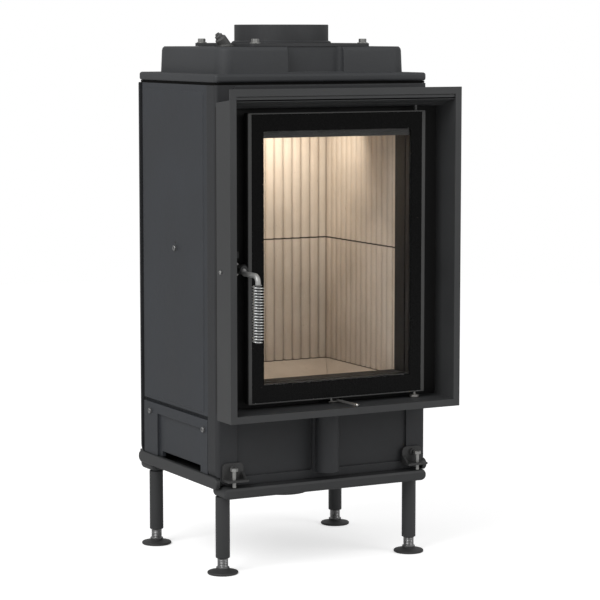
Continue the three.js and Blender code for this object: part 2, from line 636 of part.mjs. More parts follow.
// ---- facing frame and door seat ------------------------------------------------------------
// Folded frame: outer wall, front lip and inner wall, open behind. Its top slopes down inwards.
function facingFrame() {
  const half = frameW / 2;
  const t = FRAME_SHEET;
  const back = -FRAME_BACK;
  const seatY = -SEAT_PROUD - GAP;
  const outerTop = (y) => frameTop - OUTER_SLOPE * (y + FRAME_PROUD);
  const shellSide = (grow, yBack) => outline([[-FRAME_PROUD + grow, frameFoot + grow], [yBack, frameFoot + grow],
    [yBack, outerTop(yBack) - grow], [-FRAME_PROUD + grow, outerTop(-FRAME_PROUD + grow) - grow]]);
  const voidSide = (grow, yFront, yBack) => outline([[yFront, frameFloor(yFront) - grow], [yBack, frameFloor(yBack) - grow],
    [yBack, frameCeiling(yBack) + grow], [yFront, frameCeiling(yFront) + grow]]);
  const outer = alongX(shellSide(0, back), -half, half);
  const hollow = alongX(shellSide(t, back + 1), -half + t, half - t);
  const innerHalf = half - FRAME_LIP;
  const liner = alongX(voidSide(t, -FRAME_PROUD + 0.5, seatY), -innerHalf - t, innerHalf + t);
  const opening = alongX(voidSide(0, -FRAME_PROUD - 1, seatY + 1), -innerHalf, innerHalf);
  return cut(join(cut(outer, hollow), liner), opening);
}

const ductHalf = openW / 2 + DUCT_WALL;

// Door seat: the duct that the gasket presses on, the plate that closes the frame's back and the
// neck that stands on the front casting.
function doorSeat() {
  const plateHalf = frameW / 2 - FRAME_LIP + SEAT_MARGIN;
  const y0 = -SEAT_PROUD;
  const y1 = y0 + SEAT_T;
  const plate = block(-plateHalf, plateHalf, y0, y1, frameFloor(y0) - SEAT_MARGIN, frameCeiling(y0) + SEAT_MARGIN);
  const duct = block(-ductHalf, ductHalf, seatFace, WALL, openFoot - DUCT_WALL, openTop + DUCT_WALL);
  const neckHalf = BODY_W / 2 - NECK_INSET;
  const neckFoot = slideFoot + SLIDE_H + SLIDE_CLEAR;
  const neckTop = frameTop - NECK_DROP;
  const neck = block(-neckHalf, neckHalf, y1 - 1, -GAP, neckFoot, neckTop);
  const neckVoid = block(-neckHalf + WALL, neckHalf - WALL, y1, 0, neckFoot + WALL, neckTop - WALL);
  const opening = block(-openW / 2, openW / 2, seatFace - 1, WALL + 1, openFoot, openTop);
  const leverSlot = block(-24, 24, y0 - 1, y1 + 1, leverZ - LEVER_R - 1.5, leverZ + LEVER_R + 1.5);
  return cut(join(plate, cut(neck, neckVoid), duct, latchKeeper()), opening, leverSlot);
}

// Lower hinge pin: stands on the frame's sill with a collar that carries the door.
function lowerHingePin() {
  const foot = frameFloor(-HINGE_PROUD) + 2 * GAP;
  const tip = doorFoot + PIN_GRIP - foot;
  const profile = [[0, 0], [COLLAR_R, 0], [COLLAR_R, COLLAR_H - 0.8], [COLLAR_R - 0.8, COLLAR_H], [PIN_R, COLLAR_H],
    [PIN_R, tip], [0, tip]];
  return turned(profile, hingeX, -HINGE_PROUD, foot, 16);
}

// Upper hinge pin: hangs from the frame's sloping top wall, so its head is cut to that slope.
function upperHingePin() {
  const y0 = -HINGE_PROUD - 9;
  const y1 = -HINGE_PROUD + 9;
  const roof = (y) => frameCeiling(y) - GAP;
  const under = alongX(outline([[y0, doorTop - 30], [y1, doorTop - 30], [y1, roof(y1)], [y0, roof(y0)]]), hingeX - 9, hingeX + 9);
  return common(rod(PIN_R, hingeX, -HINGE_PROUD, doorTop - PIN_GRIP, frameCeiling(y0), 16), under);
}

// Keeper: an angle welded to the seat plate; its tongue hangs above the latch fork.
function latchKeeper() {
  const x0 = handleX - FORK_REACH - 8;
  const x1 = handleX - 6;
  const low = handleZ + FORK_SPREAD + 3;
  const profile = outline([[-SEAT_PROUD + 1, low], [-SEAT_PROUD + 1, low + 22], [-SEAT_PROUD - GAP - 4, low + 22],
    [-SEAT_PROUD - GAP - 4, low + 12], [doorBack - 9, low + 12], [doorBack - 9, low], [doorBack - 5, low],
    [doorBack - 5, low + 8], [-SEAT_PROUD - GAP - 4, low + 8], [-SEAT_PROUD - GAP - 4, low]]);
  return alongX(profile, x0, x1);
}

// ---- door ----------------------------------------------------------------------------------
const ringXZ = (outerW, outerH, innerW, innerH, cz, y0, y1, radius) =>
  cut(alongY(rounded(0, cz, outerW, outerH, radius), y0, y1, 3), block(-innerW / 2, innerW / 2, y0 - 1, y1 + 1, cz - innerH / 2, cz + innerH / 2));

function doorFrame() {
  const y0 = doorBack - DOOR_T;
  const plate = alongY(rounded(0, doorMid, doorW, doorH, 1.5), y0, doorBack, 2);
  const opening = block(-openW / 2, openW / 2, y0 - 1, doorBack + 1, openFoot, openTop);
  const lug = join(
    rod(LUG_R, 0, 0, 0, DOOR_T, 20).rotateX(Math.PI / 2).translate(handleX, doorBack, handleZ),
    block(handleX, -doorW / 2 + 4, y0, doorBack, handleZ - LUG_R, handleZ + LUG_R));
  const shaftHole = rod(HANDLE_R + GAP, 0, 0, 0, DOOR_T + 20, 20).rotateX(Math.PI / 2).translate(handleX, doorBack + 10, handleZ);
  const pinHoles = [rod(PIN_R + GAP, hingeX, -HINGE_PROUD, doorFoot - 1, doorFoot + PIN_GRIP + 1, 16),
    rod(PIN_R + GAP, hingeX, -HINGE_PROUD, doorTop - PIN_GRIP - 1, doorTop + 1, 16)];
  return cut(join(plate, lug), opening, shaftHole, ...pinHoles);
}

const glassHalfW = doorW / 2 - TRIM_W - GAP;
const glassHalfH = doorH / 2 - TRIM_THIN - GAP;
const doorGlass = () => block(-glassHalfW, glassHalfW, -DOOR_PROUD, -DOOR_PROUD + GLASS_T, doorMid - glassHalfH, doorMid + glassHalfH);
const doorTrim = () => ringXZ(doorW, doorH, 2 * (glassHalfW + GAP), 2 * (glassHalfH + GAP), doorMid, -DOOR_PROUD, -DOOR_PROUD + GLASS_T, 1.5);

function doorGasket() {
  const y0 = doorBack + GAP;
  const y1 = seatFace - GAP;
  const w = openW + DUCT_WALL - GASKET_W;
  const h = openH + DUCT_WALL - GASKET_W;
  const cz = (openFoot + openTop) / 2;
  return ringXZ(w + 2 * GASKET_W, h + 2 * GASKET_W, w, h, cz, y0, y1, 4);
}

// ---- handle --------------------------------------------------------------------------------
// Bent rod: it comes forward out of the door's lug, bends down and carries the coil grip.
function handleRod() {
  const tail = new THREE.Vector3(handleX, -DOOR_PROUD + SHAFT_TAIL + FORK_T + 4, handleZ);
  const bendIn = new THREE.Vector3(handleX, gripY + HANDLE_BEND, handleZ);
  const corner = new THREE.Vector3(handleX, gripY, handleZ);
  const bendOut = new THREE.Vector3(handleX, gripY, handleZ - HANDLE_BEND);
  const end = new THREE.Vector3(handleX, gripY, handleZ - HANDLE_DROP);
  const bend = new THREE.QuadraticBezierCurve3(bendIn, corner, bendOut).getPoints(6);
  const bar = wire([tail, ...bend, end], HANDLE_R, 14);
  const y0 = doorBack + GAP;
  const reach = handleX - FORK_REACH;
  const arm = (s) => alongY(outline([[handleX + 4, handleZ - s * 3], [handleX + 4, handleZ + s * 5],
    [reach + 3, handleZ + s * (FORK_SPREAD + 1)], [reach - 2, handleZ + s * FORK_SPREAD],
    [reach - 2, handleZ + s * (FORK_SPREAD - 5)], [handleX - 6, handleZ - s * 3]]), y0, y0 + FORK_T);
  const hub = rod(LUG_R - 1, 0, 0, 0, FORK_T, 16).rotateX(Math.PI / 2).translate(handleX, y0 + FORK_T, handleZ);
  return join(bar, hub, arm(1), arm(-1));
}

// Coil grip: one wire, straight radial ends, that winds down round the rod. Its least gap to
// itself is measured on the points of its centre line.
function coilPoints() {
  const points = [];
  const top = handleZ - COIL_DROP;
  const at = (r, a, z) => new THREE.Vector3(handleX + r * Math.cos(a), gripY + r * Math.sin(a), z);
  const steps = COIL_TURNS * COIL_STEPS;
  const inner = HANDLE_R + GAP + COIL_WIRE;
  points.push(at(inner - COIL_WIRE, 0, top), at(inner + COIL_WIRE, 0, top));
  for (let i = 1; i < steps; i += 1) {
    const turn = i / COIL_STEPS;
    const ease = Math.min(1, turn / 0.5, (COIL_TURNS - turn) / 0.5);
    const r = THREE.MathUtils.lerp(inner + COIL_WIRE, COIL_R, Math.sin((Math.PI / 2) * ease));
    points.push(at(r, 2 * Math.PI * turn, top - COIL_PITCH * turn));
  }
  const foot = top - COIL_PITCH * COIL_TURNS;
  points.push(at(inner + COIL_WIRE, 0, foot), at(inner - COIL_WIRE, 0, foot));
  return points;
}

function leastSelfGap(points, radius, skip) {
  let least = Infinity;
  points.forEach((p, i) => {
    for (let j = i + skip; j < points.length; j += 1) least = Math.min(least, p.distanceTo(points[j]));
  });
  return least - 2 * radius;
}

function handleCoil() {
  const points = coilPoints();
  const gap = leastSelfGap(points, COIL_WIRE, COIL_STEPS - 1);
  console.log(`coil grip: least gap to itself ${gap.toFixed(2)} mm`);
  return wire(points, COIL_WIRE, COIL_SIDES);
}

// ---- air control ---------------------------------------------------------------------------
const leverTurn = THREE.MathUtils.degToRad(LEVER_ANGLE);
const slideY = -GAP - SLIDE_T / 2;
const slideFoot = leverZ - SLIDE_DROP - SLIDE_H / 2;
const slideShift = -(LEVER_PIVOT + slideY) * Math.tan(leverTurn);

// Post: a shouldered pin with a nut, on a foot fixed to the seat plate.
function leverPost() {
  const y = -LEVER_PIVOT;
  const low = frameFloor(-SEAT_PROUD) + GAP;
  const foot = block(-9, 9, y - 6, -SEAT_PROUD - GAP, low, leverZ - LEVER_R - 1.2);
  const pin = rod(2.6, 0, y, low + 1, leverZ + LEVER_R + 2.2, 12);
  const nut = new THREE.CylinderGeometry(5.5, 5.5, 3, 6).rotateX(Math.PI / 2).translate(0, y, leverZ + LEVER_R + 2.7);
  return join(foot, pin, nut);
}

// Lever: a round rod with an eye over the post and a tail that drives the slide.
function airLever() {
  const spin = (geometry) => geometry.rotateZ(leverTurn).translate(0, -LEVER_PIVOT, leverZ);
  const front = rod(LEVER_R, 0, 0, 4, LEVER_REACH, 10).rotateX(Math.PI / 2);
  const tip = turned([[0, 0], [LEVER_R, 0], [LEVER_R, 0.6], [1.4, 2], [0, 2]], 0, 0, LEVER_REACH - 0.3, 10).rotateX(Math.PI / 2);
  const eye = pipe(5.2, 2.9, 0, 0, -LEVER_R - 0.7, LEVER_R + 0.7, 16);
  const tail = block(-2.2, 2.2, 3.4, LEVER_TAIL, -1.8, 1.8);
  return spin(cut(join(front, tip, pipe(5.2, 2.9, 0, 0, -LEVER_R - 0.7, LEVER_R + 0.7, 16), tail, eye), rod(2.9, 0, 0, -9, 9, 16)));
}

// Air slide: a ported plate in front of the casting, with a fork slot round the lever's tail.
function airSlide() {
  const plate = block(-SLIDE_W / 2, SLIDE_W / 2, slideY - SLIDE_T / 2, slideY + SLIDE_T / 2, slideFoot, slideFoot + SLIDE_H);
  const windows = [-PORT_X, 0, PORT_X].map((x) => {
    const half = x === 0 ? FORK_SLOT / 2 : PORT_W / 2;
    return block(x - half, x + half, slideY - 9, slideY + 9, leverZ - 6, leverZ + 6);
  });
  return cut(plate, ...windows).translate(slideShift, 0, 0);
}

// ---- fire chamber --------------------------------------------------------------------------
// Points of a fluted face from u0 to u1: a row of shallow arches, crest at 0, valley at depth.
function flutes(u0, u1, count) {
  const points = [];
  const pitch = (u1 - u0) / count;
  for (let i = 0; i < count * FLUTE_STEPS; i += 1) {
    const s = (2 * (i % FLUTE_STEPS)) / FLUTE_STEPS - 1;
    points.push([u0 + (pitch * i) / FLUTE_STEPS, FLUTE_DEPTH * s * s]);
  }
  points.push([u1, FLUTE_DEPTH]);
  return points;
}

function backBrick(z0, z1) {
  const face = flutes(-liningX, liningX, BACK_FLUTES).map(([x, d]) => [x, chamberBack + d]);
  const outerX = liningX + BRICK_T;
  const shape = outline([...face, [outerX, chamberBack + FLUTE_DEPTH], [outerX, liningBack], [-outerX, liningBack], [-outerX, chamberBack + FLUTE_DEPTH]]);
  return alongZ(shape, z0, z1);
}

function sideBrick(z0, z1) {
  const back = chamberBack + FLUTE_DEPTH - GAP;
  const face = flutes(liningFront, back, SIDE_FLUTES).map(([y, d]) => [-liningX - d, y]);
  return alongZ(outline([...face, [-liningX - BRICK_T, back], [-liningX - BRICK_T, liningFront]]), z0, z1);
}

// Hearth: one block with a sloping hopper, sawn at its mitres into four slabs.
function hearthSlabs() {
  const outerX = liningX + BRICK_T;
  const body = block(-outerX, outerX, liningFront, liningBack, hearthFoot, hearthTop);
  const midX = liningX - HEARTH_RIM;
  const midBack = chamberBack - HEARTH_RIM_REAR;
  const midFront = liningFront + HEARTH_RIM_FRONT;
  const midZ = hearthTop - HEARTH_FALL;
  const grate = [-GRATE_W / 2 - GAP, GRATE_W / 2 + GAP, grateY - GRATE_D / 2 - GAP, grateY + GRATE_D / 2 + GAP];
  const upper = hopper([-midX, midX, midFront, midBack], midZ, [-liningX, liningX, liningFront + 2, chamberBack], hearthTop + 0.01);
  const lower = hopper(grate, hearthFoot + 18, [-midX, midX, midFront, midBack], midZ + 0.01);
  const well = hopper(grate, hearthFoot - 1, grate, hearthFoot + 18.01);
  const saw = ([x0, y0], [x1, y1]) => {
    const length = Math.hypot(x1 - x0, y1 - y0);
    const slit = block(0, length, -GAP / 2, GAP / 2, hearthFoot - 1, hearthTop + 1);
    return slit.rotateZ(Math.atan2(y1 - y0, x1 - x0)).translate(x0, y0, 0);
  };
  const slits = [-1, 1].flatMap((s) => [
    saw([s * (grate[1] - 0.6), grate[3] - 0.6], [s * midX, midBack]),
    saw([s * midX, midBack], [s * (midX + 2 * HEARTH_RIM), midBack + 2 * HEARTH_RIM_REAR]),
    saw([s * (grate[1] - 0.6), grate[2] + 0.6], [s * midX, midFront]),
    saw([s * midX, midFront], [s * (midX + 3 * HEARTH_RIM), midFront - 1.2 * HEARTH_RIM_FRONT]),
  ]);
  return solid(cut(body, upper, lower, well, ...slits)).decompose().map(skin);
}

function addHearth() {
  for (const slab of hearthSlabs()) {
    slab.computeBoundingBox();
    const middle = slab.boundingBox.getCenter(new THREE.Vector3());
    const sideways = Math.abs(middle.x) > BRICK_T;
    const name = sideways ? (middle.x < 0 ? 'left' : 'right') : (middle.y > grateY ? 'back' : 'front');
    add(`floor_brick_${name}`, slab, firebrick);
  }
}

// Grate: a rimmed plate with long slots, dropped into the well of the hearth.
function fireGrate() {
  const z0 = hearthFoot + GAP;
  const plate = block(-GRATE_W / 2, GRATE_W / 2, grateY - GRATE_D / 2, grateY + GRATE_D / 2, z0, z0 + GRATE_T);
  const pitch = (GRATE_W - 2 * GRATE_RIM) / GRATE_SLOTS;
  const slots = Array.from({ length: GRATE_SLOTS }, (_, i) => {
    const x = -GRATE_W / 2 + GRATE_RIM + pitch * (i + 0.5);
    return alongZ(rounded(x, grateY, pitch * 0.55, GRATE_D - 2 * GRATE_RIM, 3), z0 - 1, z0 + GRATE_T + 1, 2);
  });
  return cut(plate, ...slots);
}

function ashBox() {
  const z0 = bodyFoot + PAN_RIB_H + GAP;
  const outer = block(-ASH_W / 2, ASH_W / 2, grateY - ASH_D / 2, grateY + ASH_D / 2, z0, z0 + ASH_H);
  return cut(outer, block(-ASH_W / 2 + ASH_WALL, ASH_W / 2 - ASH_WALL, grateY - ASH_D / 2 + ASH_WALL, grateY + ASH_D / 2 - ASH_WALL, z0 + ASH_WALL, z0 + ASH_H + 1));
}

const bafflePlate = () => block(-liningX - 20, liningX + 20, BAFFLE_FRONT, liningBack, brickTop + GAP, brickTop + GAP + BAFFLE_T);

// ---- base ----------------------------------------------------------------------------------
const crossRailHalf = BODY_W / 2 + SIDE_RAIL_OVER - SIDE_RAIL_T - GAP;

function crossRail(legY, towards) {
  const y0 = towards < 0 ? legY + RAIL_INNER - RAIL_D : legY - RAIL_INNER;
  const shape = (ease) => rounded(0, LEG_H + RAIL_H / 2, 2 * (crossRailHalf - ease), RAIL_H - 2 * ease, RAIL_CORNER - ease);
  return easedBar(shape, y0, y0 + RAIL_D, RAIL_EASE);
}

// Side rail (left): flat bar on edge with fully rounded ends.
function sideRail() {
  const front = -SIDE_RAIL_OVER;
  const back = legRear + LEG_FRONT + 6;
  const shape = rounded((front + back) / 2, sideRailTop - RAIL_H / 2, back - front - 3, RAIL_H - 3, RAIL_H / 2 - 1.6);
  const bar = new THREE.ExtrudeGeometry(shape, { depth: SIDE_RAIL_T - 3, bevelEnabled: true, bevelSize: 1.5, bevelThickness: 1.5, bevelSegments: 1, curveSegments: 5 });
  const turn = new THREE.Matrix4().makeBasis(new THREE.Vector3(0, 1, 0), new THREE.Vector3(0, 0, 1), new THREE.Vector3(1, 0, 0));
  return bar.applyMatrix4(turn).translate(-crossRailHalf - GAP - SIDE_RAIL_T + 1.5, 0, 0);
}

const legTube = (x, y) => turned([[0, SPINDLE_TOP + 12 - LEG_CLEAR], [LEG_R - LEG_WALL, SPINDLE_TOP + 12 - LEG_CLEAR],
  [LEG_R - LEG_WALL, 0], [LEG_R - 0.8, 0], [LEG_R, 0.8], [LEG_R, LEG_H - GAP - LEG_CLEAR], [0, LEG_H - GAP - LEG_CLEAR]], x, y, LEG_CLEAR, 24);

// Levelling foot: coned pad, lock nut and spindle in one.
const levellingFoot = (x, y) => turned([[0, 0], [PAD_R - 1, 0], [PAD_R, 1], [PAD_R, 3.5], [PAD_R - 1, 4.5], [15, PAD_T - 1], [12.5, PAD_T],
  [12.5, PAD_T + 4], [SPINDLE_R, PAD_T + 5], [SPINDLE_R, SPINDLE_TOP - 1], [SPINDLE_R - 1, SPINDLE_TOP], [0, SPINDLE_TOP]], x, y, 0, 28);

// Combustion-air spigot under the pan.
function airSpigot() {
  const top = bodyFoot - GAP;
  return turned([[SPIGOT_R - 2, 0], [SPIGOT_R, 0], [SPIGOT_R, SPIGOT_H - 3], [SPIGOT_R + 14, SPIGOT_H - 3],
    [SPIGOT_R + 14, SPIGOT_H], [SPIGOT_R - 2, SPIGOT_H], [SPIGOT_R - 2, 0]], 0, flueY, top - SPIGOT_H, SEGMENTS);
}

// ---- brackets and their bolts ----------------------------------------------------------------
const bracketFoot = bodyFoot + BRACKET_LIFT;
const bracketScrewZ = bracketFoot + BRACKET_H - 10;
// Distance d in front of the face (or behind the back) as a y coordinate.
const outwards = (facing, d) => (facing < 0 ? -d : BODY_D + d);

// Angle bracket with one gusset and the socket screw that holds it to the casting.
function cornerBracket(side, facing) {
  const t = BRACKET_T;
  const y = (d) => outwards(facing, d);
  const span = (a, b) => [Math.min(y(a), y(b)), Math.max(y(a), y(b))];
  const x0 = side * bracketX - BRACKET_W / 2;
  const x1 = side * bracketX + BRACKET_W / 2;
  const face = rounded(side * bracketX, bracketFoot + BRACKET_H / 2, BRACKET_W, BRACKET_H, [0, 0, 8, 8]);
  const upright = alongY(face, ...span(GAP, GAP + t), 3);
  const ledge = block(x0, x1, ...span(GAP, BRACKET_LEDGE), bracketFoot, bracketFoot + t);
  const gx = side < 0 ? x1 - t : x0;
  const web = outline([[y(GAP), bracketFoot + 1], [y(BRACKET_LEDGE - 3), bracketFoot + 1], [y(GAP), bracketFoot + 20]]);
  const hole = rod(BOLT_R + GAP, side * (bracketX + BOLT_SHIFT), y(boltOut), bracketFoot - 1, bracketFoot + t + 1, 12);
  const screw = socketScrew(side * bracketX, y(GAP + t), bracketScrewZ, SOCKET_R, SOCKET_HEAD, facing, SOCKET_R / 2 - GAP, 9);
  return join(cut(join(upright, ledge, alongX(web, gx, gx + t)), hole), screw);
}

const boltOut = GAP + BRACKET_T + SOCKET_HEAD + HEX_R + 1;

// Levelling bolt: through the bracket's ledge, pressing on the cross rail.
function levellingBolt(side, facing) {
  const y = outwards(facing, boltOut);
  const shoulder = bracketFoot + BRACKET_T + BOLT_STAND;
  return hexBolt(side * (bracketX + BOLT_SHIFT), y, railTop + GAP, shoulder, BOLT_R, HEX_R, BOLT_HEAD);
}

// ---- assembly --------------------------------------------------------------------------------
add('front_casting', frontCasting(), iron);
add('rear_casting', rearCasting(), iron);
add('side_panel_left', sidePanel(), iron);
add('side_panel_right', mirrorX(sidePanel()), iron);
add('side_base_left', sideBase(), iron);
add('side_base_right', mirrorX(sideBase()), iron);
add('bottom_pan', bottomPan(), iron);
add('floor_plate', floorPlate(), iron);

add('dome_seal', domeSeal(), rope);
add('top_dome', topDome(), iron);
add('dome_cover_plate', coverPlate(), iron);
add('flue_collar', flueCollar(), iron);
add('sensor_sleeve', sensorSleeve(), iron);

add('facing_frame', facingFrame(), frameSteel);
add('door_seat', doorSeat(), blackSteel);
add('hinge_pin_lower', lowerHingePin(), brightSteel);
add('hinge_pin_upper', upperHingePin(), brightSteel);

add('door_frame', doorFrame(), blackSteel);
add('door_glass', doorGlass(), glass);
add('door_trim', doorTrim(), zincSteel);
add('door_gasket', doorGasket(), rope);
add('handle_rod', handleRod(), brightSteel);
add('handle_coil', handleCoil(), brightSteel);

add('lever_post', leverPost(), zincSteel);
add('air_lever', airLever(), brightSteel);
add('air_slide', airSlide(), zincSteel);

for (const [level, z0, z1] of [['lower', brickFoot, brickSeam], ['upper', brickSeam + BRICK_JOINT, brickTop]]) {
  add(`brick_back_${level}`, backBrick(z0, z1), firebrick);
  add(`brick_left_${level}`, sideBrick(z0, z1), firebrick);
  add(`brick_right_${level}`, mirrorX(sideBrick(z0, z1)), firebrick);
}
addHearth();
add('fire_grate', fireGrate(), iron);
add('ash_box', ashBox(), blackSteel);
add('baffle_plate', bafflePlate(), firebrick);

add('cross_rail_front', crossRail(LEG_FRONT, -1), iron);
add('cross_rail_rear', crossRail(legRear, 1), iron);
add('side_rail_left', sideRail(), iron);
add('side_rail_right', mirrorX(sideRail()), iron);
add('air_spigot', airSpigot(), blackSteel);
for (const [end, facing, y] of [['front', -1, LEG_FRONT], ['rear', 1, legRear]]) {
  for (const [side, sign] of [['left', -1], ['right', 1]]) {
    add(`leg_tube_${end}_${side}`, legTube(sign * legX, y), iron);
    add(`levelling_foot_${end}_${side}`, levellingFoot(sign * legX, y), zincSteel);
    add(`corner_bracket_${end}_${side}`, cornerBracket(sign, facing), iron);
    add(`levelling_bolt_${end}_${side}`, levellingBolt(sign, facing), zincSteel);
  }
}

// The origin is on the floor, in the middle of the footprint.
const reach = new THREE.Box3().setFromObject(insert);
const middle = reach.getCenter(new THREE.Vector3());
insert.position.set(-middle.x, -middle.y, -reach.min.z);
insert.updateMatrixWorld(true);

export default insert;
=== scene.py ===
import math

import bpy
import numpy as np
from mathutils import Matrix, Vector


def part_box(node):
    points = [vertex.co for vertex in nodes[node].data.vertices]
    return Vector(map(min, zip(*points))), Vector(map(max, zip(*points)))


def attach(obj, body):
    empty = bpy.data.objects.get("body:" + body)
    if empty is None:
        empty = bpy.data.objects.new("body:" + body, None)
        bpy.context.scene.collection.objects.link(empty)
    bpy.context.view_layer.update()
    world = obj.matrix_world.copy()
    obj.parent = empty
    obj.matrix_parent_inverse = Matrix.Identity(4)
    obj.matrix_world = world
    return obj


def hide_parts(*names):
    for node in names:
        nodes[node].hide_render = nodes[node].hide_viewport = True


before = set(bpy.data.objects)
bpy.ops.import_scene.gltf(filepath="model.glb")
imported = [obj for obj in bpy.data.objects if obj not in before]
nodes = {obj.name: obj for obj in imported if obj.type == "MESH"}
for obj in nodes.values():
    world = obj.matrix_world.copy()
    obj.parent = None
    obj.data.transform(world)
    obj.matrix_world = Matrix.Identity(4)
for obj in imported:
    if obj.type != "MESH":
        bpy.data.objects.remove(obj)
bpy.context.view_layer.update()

# ---- camera ---------------------------------------------------------------------------------
# A long lens a little to the left of the front and a little above it, level across. The lens
# and the place were worked out from straight edges of the casing, the frame and the legs.
camera_data = bpy.data.cameras.new("front_left_camera")
camera_data.lens = 141.76
camera_data.sensor_width = 36.0
camera_data.clip_start = 0.1
camera_data.clip_end = 60.0
camera = bpy.data.objects.new("front_left_camera", camera_data)
bpy.context.scene.collection.objects.link(camera)
camera_place = (-2.1056, -3.981525, 1.0041)
camera_turn = math.radians(-28.0325)
camera_tilt = math.radians(6.4796)
camera_back = Vector((
    math.sin(camera_turn) * math.cos(camera_tilt),
    -math.cos(camera_turn) * math.cos(camera_tilt),
    math.sin(camera_tilt),
))
camera_right = Vector((math.cos(camera_turn), math.sin(camera_turn), 0.0))
camera_up = camera_back.cross(camera_right)
camera.matrix_world = Matrix.Translation(camera_place) @ Matrix(
    (camera_right, camera_up, camera_back)
).transposed().to_4x4()
bpy.context.scene.camera = camera
bpy.context.scene.view_settings.view_transform = "Standard"


# ---- studio ---------------------------------------------------------------------------------
# A pale floor and a white room that evens out the light, with a big soft lamp up on the left
# and a weaker one on the right. A strip lamp under the baffle lights the bricks at the back.
ROOM_STRENGTH = 0.50            # of the room's white on the object; the camera sees it at 1
FLOOR_LIFT = 0.56               # glow that brings the floor the camera sees up to near white
FLOOR_R = 5.0
FLOOR_SIDES = 96
FLOOR_Z = -0.0005


def wired(tree, kind, inputs=None, **settings):
    """A new node of that kind. Its inputs, by name or number, get a value, or a link from a socket."""
    made = tree.nodes.new(kind)
    for key, value in settings.items():
        setattr(made, key, value)
    for key, value in (inputs or {}).items():
        if isinstance(value, bpy.types.NodeSocket):
            tree.links.new(value, made.inputs[key])
        else:
            made.inputs[key].default_value = value
    return made


def seen_directly(tree):
    """1 for a ray straight from the camera or through glass, 0 for the rays that light the object."""
    path = wired(tree, "ShaderNodeLightPath")
    either = wired(tree, "ShaderNodeMath", {
        0: path.outputs["Is Camera Ray"], 1: path.outputs["Is Transmission Ray"]}, operation="MAXIMUM")
    return either.outputs[0]


room = bpy.data.worlds.new("white_room")
bpy.context.scene.world = room
room.use_nodes = True
room.node_tree.nodes.clear()
room_strength = wired(room.node_tree, "ShaderNodeMapRange", {
    "Value": seen_directly(room.node_tree), "To Min": ROOM_STRENGTH, "To Max": 1.0})
room_light = wired(room.node_tree, "ShaderNodeBackground", {
    "Color": (1.0, 1.0, 1.0, 1.0), "Strength": room_strength.outputs[0]})
wired(room.node_tree, "ShaderNodeOutputWorld", {"Surface": room_light.outputs[0]})

floor_paint = bpy.data.materials.new("pale_floor")
floor_paint.use_nodes = True
floor_paint.node_tree.nodes.clear()
floor_matt = wired(floor_paint.node_tree, "ShaderNodeBsdfDiffuse", {"Color": (0.82, 0.82, 0.82, 1.0)})
floor_lift = wired(floor_paint.node_tree, "ShaderNodeMath", {
    0: seen_directly(floor_paint.node_tree), 1: FLOOR_LIFT}, operation="MULTIPLY")
floor_glow = wired(floor_paint.node_tree, "ShaderNodeEmission", {
    "Color": (1.0, 1.0, 1.0, 1.0), "Strength": floor_lift.outputs[0]})
floor_both = wired(floor_paint.node_tree, "ShaderNodeAddShader", {
    0: floor_matt.outputs[0], 1: floor_glow.outputs[0]})
wired(floor_paint.node_tree, "ShaderNodeOutputMaterial", {"Surface": floor_both.outputs[0]})

ring = np.linspace(0.0, 2.0 * np.pi, FLOOR_SIDES, endpoint=False)
floor_points = np.stack([FLOOR_R * np.cos(ring), FLOOR_R * np.sin(ring),
                         np.full(FLOOR_SIDES, FLOOR_Z)], axis=1)
floor_mesh = bpy.data.meshes.new("studio_floor")
floor_mesh.from_pydata(floor_points.tolist(), [], [list(range(FLOOR_SIDES))])
floor_mesh.materials.append(floor_paint)
studio_floor = bpy.data.objects.new("studio_floor", floor_mesh)
bpy.context.scene.collection.objects.link(studio_floor)


def soft_lamp(name, place, target, width, height, watts, colour=(1.0, 1.0, 1.0)):
    """A rectangular lamp at place that faces target."""
    lamp_data = bpy.data.lights.new(name, "AREA")
    lamp_data.shape = "RECTANGLE"
    lamp_data.size = width
    lamp_data.size_y = height
    lamp_data.energy = watts
    lamp_data.color = colour
    lamp = bpy.data.objects.new(name, lamp_data)
    bpy.context.scene.collection.objects.link(lamp)
    away = Vector(target) - Vector(place)
    lamp.matrix_world = Matrix.Translation(place) @ away.to_track_quat("-Z", "Y").to_matrix().to_4x4()
    return lamp


soft_lamp("key_lamp", (-3.4, -1.6, 3.2), (0.0, 0.0, 0.6), 2.6, 2.6, 120.0)
soft_lamp("fill_lamp", (2.6, -3.4, 2.4), (0.0, 0.0, 0.5), 2.2, 2.2, 46.0)
chamber_lamp = soft_lamp("chamber_lamp", (-0.02, 0.0, 0.831), (-0.02, 0.153, 0.76), 0.24, 0.012, 0.70,
                         (1.0, 0.94, 0.85))
chamber_lamp.visible_camera = False


# ---- casing castings ------------------------------------------------------------------------
# Front, rear, side plates, pan and floor plate: grey iron cast in sand, bolted and sealed
# together, then sprayed with dark grey heat-resistant paint that leaves the sand grain to feel.
def finish_start(name):
    """A new finish: its material, its tree, its main shader and the place on the object in metres."""
    finish = bpy.data.materials.new(name)
    finish.use_nodes = True
    tree = finish.node_tree
    place = wired(tree, "ShaderNodeTexCoord").outputs["Object"]
    return finish, tree, tree.nodes["Principled BSDF"], place


def noise(tree, place, size, detail=3.0, rough=0.55, stretch=(1.0, 1.0, 1.0)):
    """Cloudy noise whose main lumps are about size metres across; stretch draws it out along an axis."""
    scaled = wired(tree, "ShaderNodeMapping", {"Vector": place, "Scale": tuple(1.0 / s for s in stretch)})
    return wired(tree, "ShaderNodeTexNoise", {"Vector": scaled.outputs[0], "Scale": 1.0 / size,
                                              "Detail": detail, "Roughness": rough}).outputs["Fac"]


def spread(tree, value, low, high, to_low=0.0, to_high=1.0):
    """The value from low..high carried over to to_low..to_high, held inside them."""
    return wired(tree, "ShaderNodeMapRange", {"Value": value, "From Min": low, "From Max": high,
                                              "To Min": to_low, "To Max": to_high}).outputs[0]


